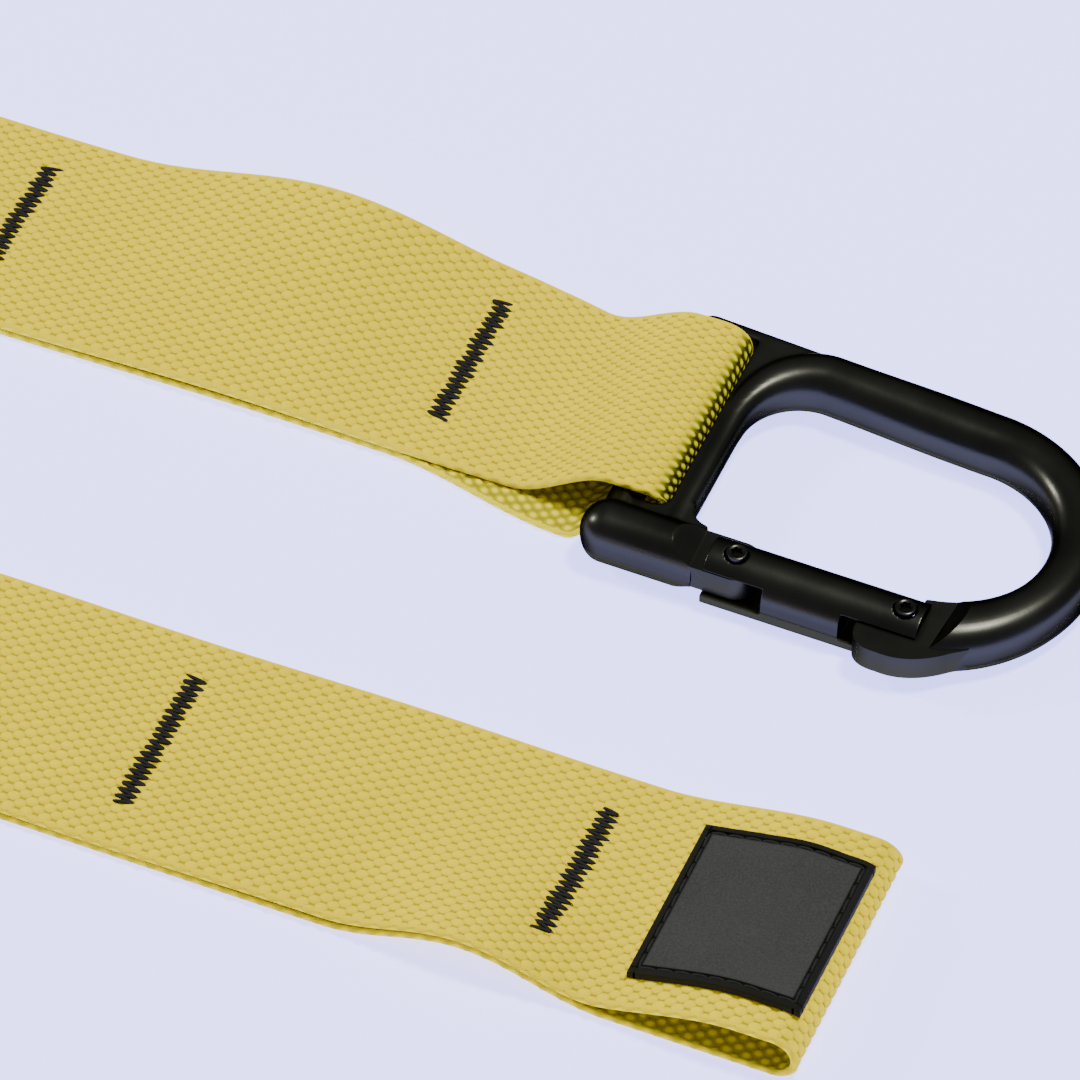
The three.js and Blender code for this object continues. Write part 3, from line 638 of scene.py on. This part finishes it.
def tack_threads(position, face_height, side):
    """A dense zigzag of thread on one face of the strap. side is 1 on the upper face."""
    middle = TACK_OFFSET * (1 - 2 * position / strap_length)
    ends = 2 * STITCHES + 1
    reach = STITCH_REACH + rng.uniform(-1, 1, ends) * STITCH_SCATTER["reach"]
    corner_distance = position + np.where(np.arange(ends) % 2, 1, -1) * reach
    corner_across = middle + np.linspace(-TACK_LENGTH / 2, TACK_LENGTH / 2, ends)
    corner_across += rng.uniform(-1, 1, ends) * STITCH_SCATTER["across"]
    steps = 7
    t = np.arange((ends - 1) * steps + 1) / steps
    distance = np.interp(t, np.arange(ends), corner_distance)
    across = np.interp(t, np.arange(ends), corner_across)
    rise = THREAD_RISE["height"] * np.sin(math.pi * (t % 1)) ** 0.6 - THREAD_RISE["sunk"]
    height = face_height + side * rise
    path = strap_point(distance, across, height)
    return swept(path, THREAD_RADIUS, THREAD_RADIUS * 0.8, strap_up(distance, across, height))


def build_tack(number, position, material):
    top = sewn_height + half_thickness - 0.3
    upper = tack_threads(position, top + float(pocket_opening(np.array([position]))[0]), 1)
    lower = tack_threads(position, 0.26, -1)
    piece = object_from(f"tack_thread_{number:02d}", *merged([upper, lower]))
    smooth_shaded(piece)
    piece.data.materials.append(material)
    return ride(piece, "strap", "thread_black", f"bar_tack_{number:02d}")


# ---- Patch ----

PATCH_LENGTH = 31.9
PATCH_WIDTH = 36.4
PATCH_THICKNESS = 1.6
PATCH_TO_END = 1.7
PATCH_ACROSS = 0.4
GROOVE_INSET = 1.55
GROOVE_HALF = 0.45
GROOVE_DEPTH = 0.75
PATCH_STANDOFF = 0.12  # from the webbing's nominal face
PATCH_WAVE = 0.35
PATCH_STITCHES = 9  # on each side
patch_middle = strap_length - PATCH_TO_END - PATCH_LENGTH / 2


def patch_base(distance, across):
    """The height of the webbing under the patch, which bends down over the start of the end fold."""
    straight = strap_length - END_LOOP["reach"]
    rounding = end_half_height(across) + half_thickness
    share = np.clip((distance - straight) / (END_LOOP["reach"] + half_thickness), 0, 1)
    dip = rounding * (1 - np.sqrt(1 - share**2))
    surface = upper_height(np.minimum(distance, straight), across) + half_thickness + PATCH_STANDOFF
    return surface - dip


def patch_point(x, y, height):
    """x and y run from -1 to 1 over the patch, and the near side is gently wavy."""
    wave = PATCH_WAVE * np.sin(2.4 * math.pi * (x + 1) / 2) * smoothstep(-y, 0.2, 1)
    distance = patch_middle + x * PATCH_LENGTH / 2
    across = PATCH_ACROSS + y * PATCH_WIDTH / 2 + 0.8 * wave
    return strap_point(distance, across, patch_base(distance, across) + height + np.maximum(wave, 0) * 0.8)


def patch_lines(half_size):
    """Positions from -half_size to half_size, closer together over the border and its groove."""
    inner = GROOVE_INSET + GROOVE_HALF
    edge = np.array([0, 0.08, 0.25, 0.6, 1.1, 1.5, inner - 2 * GROOVE_HALF, GROOVE_INSET - 0.3])
    edge = np.append(edge, [GROOVE_INSET, GROOVE_INSET + 0.3, inner, inner + 0.25, inner + 0.6])
    field = np.linspace(inner + 1.2, half_size, 14)[:-1]
    side = np.concatenate([edge, field]) - half_size
    return np.concatenate([side, [0], -side[::-1]])


def patch_height(inset):
    """The border stands highest, and the stitching lies in the groove inside it."""
    rounded = 0.14 * (1 - smoothstep(inset, 0, 0.3))
    groove = GROOVE_DEPTH * (1 - smoothstep(np.abs(inset - GROOVE_INSET), GROOVE_HALF - 0.25, GROOVE_HALF))
    field = 0.12 * smoothstep(inset, GROOVE_INSET, GROOVE_INSET + GROOVE_HALF + 0.3)
    return PATCH_THICKNESS + 0.1 - rounded - groove - field


def build_patch():
    x = patch_lines(PATCH_LENGTH / 2)
    y = patch_lines(PATCH_WIDTH / 2)
    grid_x, grid_y = np.meshgrid(x, y, indexing="ij")
    inset = np.minimum(PATCH_LENGTH / 2 - np.abs(grid_x), PATCH_WIDTH / 2 - np.abs(grid_y))
    top = patch_point(grid_x / x[-1], grid_y / y[-1], patch_height(inset))
    bottom = patch_point(grid_x / x[-1], grid_y / y[-1], 0 * inset)
    rows, columns = top.shape[:2]
    count = rows * columns
    quads = grid_faces(rows, columns)
    rim_path = [i * columns for i in range(rows)] + [(rows - 1) * columns + j for j in range(1, columns)]
    rim_path += [i * columns + columns - 1 for i in range(rows - 2, -1, -1)] + list(range(columns - 2, 0, -1))
    following = rim_path[1:] + rim_path[:1]
    walls = [[b, a, a + count, b + count] for a, b in zip(rim_path, following)]
    faces = np.concatenate([quads, quads[:, ::-1] + count, np.array(walls)])
    points = np.concatenate([top.reshape(-1, 3), bottom.reshape(-1, 3)])
    if volume_sign(points - points.mean(0), faces) < 0:
        faces = faces[:, ::-1]
    piece = object_from("rubber_patch", points, faces)
    rim = 1 - smoothstep(inset, GROOVE_INSET + GROOVE_HALF - 0.1, GROOVE_INSET + GROOVE_HALF + 0.35)
    side = 0.35 + 0 * rim
    add_point_attribute(piece, "rim", np.concatenate([rim, side]))
    smooth_shaded(piece, 40)
    piece.data.materials.append(rubber_material())
    return ride(piece, "strap", "patch_rubber", "patch")


def build_patch_stitching(material):
    """Separate stitches of thread, end to end in the groove."""
    half_x = 1 - GROOVE_INSET / (PATCH_LENGTH / 2)
    half_y = 1 - GROOVE_INSET / (PATCH_WIDTH / 2)
    corners = np.array([[-half_x, -half_y], [half_x, -half_y], [half_x, half_y], [-half_x, half_y]])
    parts = []
    for side in range(4):
        start, end = corners[side], corners[(side + 1) % 4]
        for i in range(PATCH_STITCHES):
            t = (i + np.linspace(0.03, 0.97, 9)) / PATCH_STITCHES
            spot = lerp(start, end, t[:, None])
            bow = np.sin(math.pi * np.linspace(0, 1, 9))
            height = PATCH_THICKNESS - 0.62 + 0.42 * bow**0.5
            path = patch_point(spot[:, 0], spot[:, 1], height)
            up = patch_point(spot[:, 0], spot[:, 1], height + 0.1) - path
            up /= np.linalg.norm(up, axis=1, keepdims=True)
            parts.append(swept(path, 0.3, 0.26, up))
    piece = object_from("patch_stitches", *merged(parts))
    smooth_shaded(piece)
    piece.data.materials.append(material)
    return ride(piece, "strap", "thread_black", "patch_stitching")


# ---- Carabiner: dimensions in its own frame, in millimetres ----

HALF_HEIGHT = 5.5
CROSSBAR_HALF_HEIGHT = 3.0
BAR_RADIUS = 3.2
SLOT_NEAR_Y = -21.5
SLOT_FAR_Y = 24.3
CROSSBAR_LEFT = 8.4
CROSSBAR_WIDTH = 4.9
FAR_ROD_Y = 21.3
EYE_CORNER = (24.2, 5.0)
ROUND_END = (56.5, -5.1)
ROUND_END_RADIUS = 24.5
LEG_Y = -28.7
LEG_RADIUS = 5.2
FAR_LEG_TIP = -4.6
FAR_LEG_OUTSIDE = 27.9
TONGUE_TOP = 2.7
TONGUE_BOTTOM = -2.5
TONGUE_END = 29.3
FAR_LEG_CORNER = 3.4
FAR_RIM = 1.7
FAR_WEB_END = (48.0, 25.4)
TONGUE_HALF_WIDTH = 4.8
TONGUE_CORNER = 4.0
HINGE_STEP = {"x": 17.6, "slope": 1.7, "lean": 0.0}
NOSE_STEP = {"x": 64.8, "slope": 1.2, "lean": math.radians(-5)}
GATE_Y = -29.1
GATE_LEFT = 20.3
GATE_RIGHT = 61.4
GATE_HALF_WIDTH = 5.6
GATE_TOP = 5.2
GATE_BOTTOM = -5.0
GATE_CORNER = 0.8
HINGE_SLOT_END = 32.1
LATCH_SLOT_START = 47.1
HINGE_X = 25.2
LATCH_X = 57.8
HEAD_RADIUS = 2.0
HEAD_TOP = 5.8
SCREW_RADIUS = 1.5
NUT_TOP = -4.8
NUT_RADIUS = 2.4
GAP = 0.3
PARTING_HEIGHT = -2.0
HOOK_VOXEL = 0.28
GATE_VOXEL = 0.17
crossbar_x = CROSSBAR_LEFT + CROSSBAR_WIDTH / 2


def arc(centre, radius, start, end, steps=24):
    """Points on a circle, or an ellipse if radius is a pair. Angles in degrees."""
    radius_x, radius_y = radius if isinstance(radius, tuple) else (radius, radius)
    angle = np.radians(np.linspace(start, end, steps + 1))
    return [(centre[0] + radius_x * math.cos(a), centre[1] + radius_y * math.sin(a)) for a in angle]


def eye_corner():
    reach = (EYE_CORNER[0] - crossbar_x, FAR_ROD_Y - EYE_CORNER[1])
    return arc(EYE_CORNER, reach, 180, 90, 40)


def ring_path():
    """The middle line of the crossbar, the far rod and the round end, as far as the nose."""
    path = [(crossbar_x, LEG_Y + 1.5), *eye_corner()]
    return path + arc(ROUND_END, ROUND_END_RADIUS, 90, -80, 90)


def ring_radius(share):
    past_corner = lerp(CROSSBAR_WIDTH / 2, 5.0, smoothstep(share, 0.17, 0.35))
    thickest = lerp(past_corner, 5.5, smoothstep(share, 0.35, 0.5))
    tapered = lerp(thickest, 5.1, smoothstep(share, 0.5, 0.72))
    return lerp(tapered, 6.4, smoothstep(share, 0.84, 1))


def ring_height(share):
    return lerp(CROSSBAR_HALF_HEIGHT, HALF_HEIGHT, smoothstep(share, 0.16, 0.34))


def rod(path, radius, half_height, steps, closing=None, squareness=2.7, sides=64):
    """A rod along a plane path, round on top and squarer below the parting line."""
    path = np.array(path, float)
    length = np.concatenate([[0], np.cumsum(np.hypot(*np.diff(path, axis=0).T))])
    share = np.linspace(0, 1, steps + 1)
    centre = np.stack([np.interp(share * length[-1], length, path[:, k]) for k in range(2)], -1)
    along = np.gradient(centre, axis=0)
    along /= np.linalg.norm(along, axis=1, keepdims=True)
    closed = 1 if closing is None else closing(share)[:, None]
    angle = np.linspace(0, 2 * math.pi, sides, endpoint=False)
    power = np.where(np.sin(angle) < 0, squareness, 2.3)
    size = (np.abs(np.cos(angle)) ** power + np.abs(np.sin(angle)) ** power) ** (-1 / power)
    sideways = (radius(share) + 0 * share)[:, None] * closed * size * np.cos(angle)
    height = (half_height(share) + 0 * share)[:, None] * closed * size * np.sin(angle)
    points = np.empty((steps + 1, sides, 3))
    points[..., 0] = centre[:, :1] - along[:, 1:] * sideways
    points[..., 1] = centre[:, 1:] + along[:, :1] * sideways
    points[..., 2] = height
    return closed_tube(points)


def leg_rod():
    """The near leg, with a rounded tip."""
    start, end = -LEG_RADIUS, HINGE_STEP["x"] + 0.6
    length = end - start

    def closing(share):
        return np.sqrt(1 - (1 - np.clip(share * length / LEG_RADIUS, 0.004, 1)) ** 2)

    path = [(start, LEG_Y), (end, LEG_Y)]
    return rod(path, lambda share: LEG_RADIUS, lambda share: HALF_HEIGHT, 120, closing, 3.6)


def plate(outline, bottom, top):
    """An outline in the hook's plane between two heights."""
    outline = np.array(outline, float)
    nearby = np.hypot(*(outline - np.roll(outline, 1, 0)).T)
    outline = outline[nearby > 1e-6]
    x, y = outline.T
    if np.sum(x * np.roll(y, -1) - np.roll(x, -1) * y) < 0:
        outline = outline[::-1]
    count = len(outline)
    points = np.concatenate([np.c_[outline, np.full(count, z)] for z in (bottom, top)])
    sides = [[i, (i + 1) % count, (i + 1) % count + count, i + count] for i in range(count)]
    return points, [list(range(count))[::-1], list(range(count, 2 * count)), *sides]


def block(low, high):
    outline = [(low[0], low[1]), (high[0], low[1]), (high[0], high[1]), (low[0], high[1])]
    return plate(outline, low[2], high[2])


def cylinder(x, y, radius, bottom, top, sides=48):
    return plate(arc((x, y), radius, 0, 360, sides)[:-1], bottom, top)


def turned(part, order):
    """The same part with its axes taken in another order."""
    points, faces = part
    return points[:, order], faces


def far_edge(inset):
    """From the outer end of the far web round its corner to the leg's tip."""
    corner = FAR_LEG_CORNER
    centre = (FAR_LEG_TIP + corner, FAR_LEG_OUTSIDE - corner)
    return [(FAR_WEB_END[0], FAR_WEB_END[1] - inset), *arc(centre, corner - inset, 90, 180, 10)]


def far_web():
    outline = [(FAR_LEG_TIP + FAR_RIM, SLOT_FAR_Y), (CROSSBAR_LEFT, SLOT_FAR_Y)]
    outline += [(CROSSBAR_LEFT, EYE_CORNER[1])]
    outline += eye_corner() + [(FAR_WEB_END[0], FAR_ROD_Y)] + far_edge(FAR_RIM)
    return plate(outline, TONGUE_BOTTOM, TONGUE_TOP)


def far_rim():
    """The rounded outer edge of the far web and its leg."""
    path = far_edge(FAR_RIM) + [(FAR_LEG_TIP + FAR_RIM, SLOT_FAR_Y + 0.05)]
    half_height = (TONGUE_TOP - TONGUE_BOTTOM) / 2
    return rod(path, lambda share: FAR_RIM, lambda share: half_height, 200)


def near_web():
    slot_fillet, eye_fillet = 2.8, 4.2
    eye_side = CROSSBAR_LEFT + CROSSBAR_WIDTH - 0.2
    outline = [(0, LEG_Y), (eye_side + eye_fillet, LEG_Y)]
    outline += arc((eye_side + eye_fillet, -18.5), eye_fillet, -90, -180, 14)
    outline += arc((CROSSBAR_LEFT - slot_fillet, SLOT_NEAR_Y + slot_fillet), slot_fillet, 0, -90, 12)
    outline += [(0, SLOT_NEAR_Y)]
    return plate(outline, TONGUE_BOTTOM, TONGUE_TOP)


def slot_wall():
    return block((CROSSBAR_LEFT, SLOT_NEAR_Y, TONGUE_BOTTOM), (crossbar_x, EYE_CORNER[1] + 1, TONGUE_TOP))


def bezier(start, control, end, steps=14):
    start, control, end = (np.array(p, float) for p in (start, control, end))
    t = np.linspace(0, 1, steps + 1)[:, None]
    return [tuple(p) for p in (1 - t) ** 2 * start + 2 * t * (1 - t) * control + t**2 * end]


def hinge_tongue():
    low, high = LEG_Y - TONGUE_HALF_WIDTH, LEG_Y + TONGUE_HALF_WIDTH
    end, corner = TONGUE_END - TONGUE_CORNER, TONGUE_CORNER
    outline = [(HINGE_STEP["x"], low)]
    outline += arc((end, low + corner), corner, -90, 0, 16)
    outline += arc((end, high - corner), corner, 0, 90, 16)
    outline += [(HINGE_STEP["x"], high)]
    return plate(outline, TONGUE_BOTTOM, TONGUE_TOP)


def nose_tongue():
    """It hooks round the latch screw, which enters the notch from inside the ring."""
    notch = SCREW_RADIUS + 0.4
    outline = [(68.1, -23.2), (LATCH_X + notch, -24.4)]
    outline += arc((LATCH_X, GATE_Y), notch, 0, -180, 16)
    outline += bezier((LATCH_X - notch, -26.2), (51.4, -27.7), (50.4, -32.8))
    outline += bezier((50.4, -32.8), (49.4, -39.3), (56, -39))
    outline += bezier((56, -39), (62.5, -39.6), (68.5, -33.8))
    outline += [(71.1, -31.8)]
    return plate(outline, TONGUE_BOTTOM, TONGUE_TOP)


def step_cutter(step, y, reach, level, upward):
    """Everything above or below a tongue, on one side of a sloping face.

    reach is how far it cuts away from the face, towards the tongue's end. The face's slope is its
    run over its rise, and its lean turns it in plan."""
    rise, half = 4.5, 12
    direction = math.copysign(1, reach)
    profile = [(0, 0), (-direction * rise * step["slope"], upward * rise), (reach, upward * rise), (reach, 0)]
    points, faces = plate(profile, -half, half)
    along, up, sideways = points.T
    cosine, sine = math.cos(step["lean"]), math.sin(step["lean"])
    x = along * cosine - sideways * sine + step["x"]
    y = along * sine + sideways * cosine + y
    return np.stack([x, y, up + level], -1), faces


# ---- Booleans and rounding, on pieces in millimetres ----


def scratch(name, part):
    return object_from(name, *part, scale=1)


def apply_modifiers(piece):
    bpy.context.view_layer.update()
    evaluated = piece.evaluated_get(bpy.context.evaluated_depsgraph_get())
    mesh = bpy.data.meshes.new_from_object(evaluated)
    piece.modifiers.clear()
    piece.data = mesh
    return piece


def recalculated(piece):
    grid = bmesh.new()
    grid.from_mesh(piece.data)
    bmesh.ops.recalc_face_normals(grid, faces=grid.faces)
    grid.to_mesh(piece.data)
    grid.free()
    return piece


def combine(piece, operation, parts):
    for i, part in enumerate(parts):
        other = recalculated(scratch(f"tool_{i}", part))
        modifier = piece.modifiers.new("combine", "BOOLEAN")
        modifier.operation = operation
        modifier.solver = "EXACT"
        modifier.object = other
        apply_modifiers(piece)
        bpy.data.objects.remove(other)
    return piece


def rounded(piece, voxel, passes):
    """Makes one even skin of overlapping solids and softens its inner and outer corners."""
    remesh = piece.modifiers.new("skin", "REMESH")
    remesh.mode = "VOXEL"
    remesh.voxel_size = voxel
    smooth = piece.modifiers.new("soften", "SMOOTH")
    smooth.factor = 0.5
    smooth.iterations = passes
    return apply_modifiers(piece)


def into_hook_frame(piece):
    """From millimetres in the hook's frame to metres in the row's."""
    placed = Matrix([[*row, 0] for row in np.stack([hook_x, hook_y, hook_z], 1).tolist()] + [[0, 0, 0, 1]])
    points = np.array([v.co for v in piece.data.vertices])
    # below_parting marks where the finish is painted a lighter grey, a painted reflection of the floor.
    below = 1 - smoothstep(points[:, 2], PARTING_HEIGHT - 0.18, PARTING_HEIGHT + 0.18)
    add_point_attribute(piece, "below_parting", below)
    piece.data.transform(Matrix.Translation(Vector(swing / 1000)) @ placed @ Matrix.Scale(0.001, 4))
    return piece


def build_carabiner_body(material):
    ring = rod(ring_path(), ring_radius, ring_height, 360)
    bar = turned(plate(arc((0, 0), BAR_RADIUS, 0, 360, 48)[:-1], LEG_Y + 1, SLOT_FAR_Y + 1), [0, 2, 1])
    parts = [ring, leg_rod(), far_web(), far_rim(), near_web(), slot_wall(), bar]
    piece = recalculated(scratch("hook_casting", merged(parts)))
    rounded(piece, HOOK_VOXEL, 10)
    cutters = []
    for level, upward in ((TONGUE_TOP, 1), (TONGUE_BOTTOM, -1)):
        cutters.append(step_cutter(HINGE_STEP, LEG_Y - 5, 9, level, upward))
        cutters.append(step_cutter(NOSE_STEP, GATE_Y, -22, level, upward))
    combine(piece, "DIFFERENCE", cutters)
    combine(piece, "UNION", [hinge_tongue(), nose_tongue()])
    combine(piece, "DIFFERENCE", [cylinder(HINGE_X, GATE_Y, SCREW_RADIUS + GAP, -8, 8)])
    into_hook_frame(piece)
    smooth_shaded(piece, 35)
    piece.data.materials.clear()
    piece.data.materials.append(material)
    return ride(piece, "carabiner", "hook_black", "carabiner_body")


def gate_section():
    """Round above the parting line and nearly square below it."""
    low, corner = GATE_BOTTOM + GATE_CORNER, GATE_CORNER
    step = 0.12
    half = GATE_HALF_WIDTH
    outline = arc((0, 0), (half, GATE_TOP), 0, 180, 48)
    outline += [(-half, PARTING_HEIGHT), (-half + step, PARTING_HEIGHT - step)]
    outline += arc((-half + step + corner, low), corner, 180, 270, 8)
    outline += arc((half - step - corner, low), corner, 270, 360, 8)
    return outline + [(half - step, PARTING_HEIGHT - step), (half, PARTING_HEIGHT)]


def build_gate(material):
    points, faces = plate(gate_section(), GATE_LEFT, GATE_RIGHT)
    barrel = points[:, [2, 0, 1]] + np.array([0, GATE_Y, 0]), faces
    piece = recalculated(scratch("gate_barrel", barrel))
    low, high = TONGUE_BOTTOM - GAP, TONGUE_TOP + GAP
    near, far = GATE_Y - 9, GATE_Y + 9
    cutters = [
        block((GATE_LEFT - 5, near, low), (HINGE_SLOT_END, far, high)),
        block((LATCH_SLOT_START, near, low), (GATE_RIGHT + 5, far, high)),
    ]
    for x in (HINGE_X, LATCH_X):
        cutters.append(cylinder(x, GATE_Y, SCREW_RADIUS + GAP, -8, 8))
        cutters.append(cylinder(x, GATE_Y, HEAD_RADIUS + 0.25, HEAD_TOP - 1.3, 8))
        cutters.append(cylinder(x, GATE_Y, NUT_RADIUS + GAP, -8, NUT_TOP + GAP))
    combine(piece, "DIFFERENCE", cutters)
    rounded(piece, GATE_VOXEL, 3)
    into_hook_frame(piece)
    smooth_shaded(piece)
    piece.data.materials.clear()
    piece.data.materials.append(material)
    return ride(piece, "gate", "hook_black", "gate")


def lathe(profile, x, y, sides=48):
    """A profile of radius and height, turned about an upright axis."""
    angle = np.linspace(0, 2 * math.pi, sides, endpoint=False)
    radius, height = np.array(profile, float).T
    points = np.empty((len(profile), sides, 3))
    points[..., 0] = x + radius[:, None] * np.cos(angle)
    points[..., 1] = y + radius[:, None] * np.sin(angle)
    points[..., 2] = height[:, None]
    return closed_tube(points)


def build_screw(name, node, x, bottom, material):
    """A round head with a raised rim and a star socket."""
    shank = HEAD_TOP - 1.0
    profile = [(SCREW_RADIUS, bottom), (SCREW_RADIUS, shank), (HEAD_RADIUS, shank)]
    profile += [(HEAD_RADIUS, HEAD_TOP - 0.3), (HEAD_RADIUS - 0.08, HEAD_TOP - 0.1)]
    profile += [(HEAD_RADIUS - 0.3, HEAD_TOP), (HEAD_RADIUS - 0.6, HEAD_TOP - 0.04)]
    profile += [(HEAD_RADIUS - 0.75, HEAD_TOP - 0.14), (0.3, HEAD_TOP - 0.14)]
    piece = recalculated(scratch(name, lathe(profile, x, GATE_Y)))
    angle = np.linspace(0, 2 * math.pi, 48, endpoint=False)
    radius = 1.0 + 0.16 * np.cos(6 * angle)
    star = np.stack([x + radius * np.cos(angle), GATE_Y + radius * np.sin(angle)], -1)
    combine(piece, "DIFFERENCE", [plate(star, HEAD_TOP - 1.2, HEAD_TOP + 1)])
    into_hook_frame(piece)
    smooth_shaded(piece, 35)
    piece.data.materials.clear()
    piece.data.materials.append(material)
    return ride(piece, "gate", "screw_black", node)


def build_nut(name, node, x, bottom, material):
    """A low domed nut under the lower fork."""
    bore, top = SCREW_RADIUS + 0.05, NUT_TOP
    profile = [(bore, bottom + 0.1), (1.9, bottom), (2.25, bottom + 0.2), (NUT_RADIUS, bottom + 0.55)]
    profile += [(NUT_RADIUS, top), (bore, top)]
    piece = recalculated(scratch(name, lathe(profile + profile[:1], x, GATE_Y)))
    into_hook_frame(piece)
    smooth_shaded(piece, 35)
    piece.data.materials.append(material)
    return ride(piece, "gate", "screw_black", node)


# ---- Scene round the object ----

VIEW_AZIMUTH = 23.0
VIEW_ELEVATION = 47.5
VIEW_DISTANCE = 1.3
VIEW_AIM = (-12.9, -30.0)  # from the axis of the carabiner's bar
LENS = 236.9
SENSOR = 36


def add_camera():
    """Looks at a point between the two runs, a little short of the carabiner's bar."""
    target = Vector(((swing[0] + VIEW_AIM[0]) / 1000, (swing[1] + VIEW_AIM[1]) / 1000, 0))
    azimuth, elevation = math.radians(VIEW_AZIMUTH), math.radians(VIEW_ELEVATION)
    level = Vector((math.sin(azimuth), -math.cos(azimuth), 0)) * math.cos(elevation)
    back = level + Vector((0, 0, math.sin(elevation)))
    data = bpy.data.cameras.new("camera")
    data.lens = LENS
    data.sensor_width = SENSOR
    data.clip_start = 0.05
    camera = bpy.data.objects.new("camera", data)
    bpy.context.scene.collection.objects.link(camera)
    camera.location = target + back * VIEW_DISTANCE
    camera.rotation_euler = back.to_track_quat("Z", "Y").to_euler()
    bpy.context.scene.camera = camera


def add_area_light(name, location, target, size, power):
    data = bpy.data.lights.new(name, "AREA")
    data.shape = "SQUARE"
    data.size = size
    data.energy = power
    light = bpy.data.objects.new(name, data)
    bpy.context.scene.collection.objects.link(light)
    light.location = location
    light.rotation_euler = (Vector(location) - Vector(target)).to_track_quat("Z", "Y").to_euler()


def add_studio():
    world = bpy.data.worlds.new("studio")
    bpy.context.scene.world = world
    world.use_nodes = True
    background = world.node_tree.nodes["Background"]
    background.inputs["Color"].default_value = (0.85, 0.87, 0.95, 1)
    background.inputs["Strength"].default_value = 0.28
    add_area_light("key", (0.42, 0.16, 1.1), (0.1, 0.03, 0), 0.18, 13)
    add_area_light("side", (-0.95, 0, 0.62), (0.1, 0, 0), 0.18, 9)
    shader = Shader("floor", 0.9)
    shader.set("Base Color", (0.62, 0.64, 0.86))
    shader.set("Specular IOR Level", 0.1)
    shader.set("Emission Color", (0.38, 0.385, 1.0))
    shader.set("Emission Strength", 3.6)
    corners = [(-4000, -4000, -0.2), (4000, -4000, -0.2), (4000, 4000, -0.2), (-4000, 4000, -0.2)]
    floor = object_from("floor", corners, [(0, 1, 2, 3)])
    floor.data.materials.append(shader.material)


# ---- Build everything ----

add_camera()
add_studio()
thread = thread_material()
webbing, band_metres = build_webbing()
tacks = [build_tack(i + 1, position, thread) for i, position in enumerate(tack_positions)]
patch = build_patch()
stitches = build_patch_stitching(thread)

# The last colour of each casting is the lighter grey painted below the parting line, a painted reflection of
# the floor.
casting = casting_material("hook_casting", (0.036, 0.036, 0.029), 0.3, (0.050, 0.050, 0.028))
gate_finish = casting_material("gate_finish", (0.034, 0.034, 0.028), 0.3, (0.046, 0.046, 0.026))
screw_finish = casting_material("screw_finish", (0.032, 0.032, 0.026), 0.28)
build_carabiner_body(casting)
build_gate(gate_finish)
build_screw("hinge_screw_head", "hinge_screw", HINGE_X, -5.9, screw_finish)
build_screw("latch_screw_head", "latch_screw", LATCH_X, -5.6, screw_finish)
build_nut("hinge_nut_dome", "hinge_nut", HINGE_X, -6.1, screw_finish)
build_nut("latch_nut_dome", "latch_nut", LATCH_X, -5.8, screw_finish)
steel = steel_material()
for node in ("gate_spring", "spring_plunger"):
    frame["nodes"][node].data.materials.clear()
    frame["nodes"][node].data.materials.append(steel)
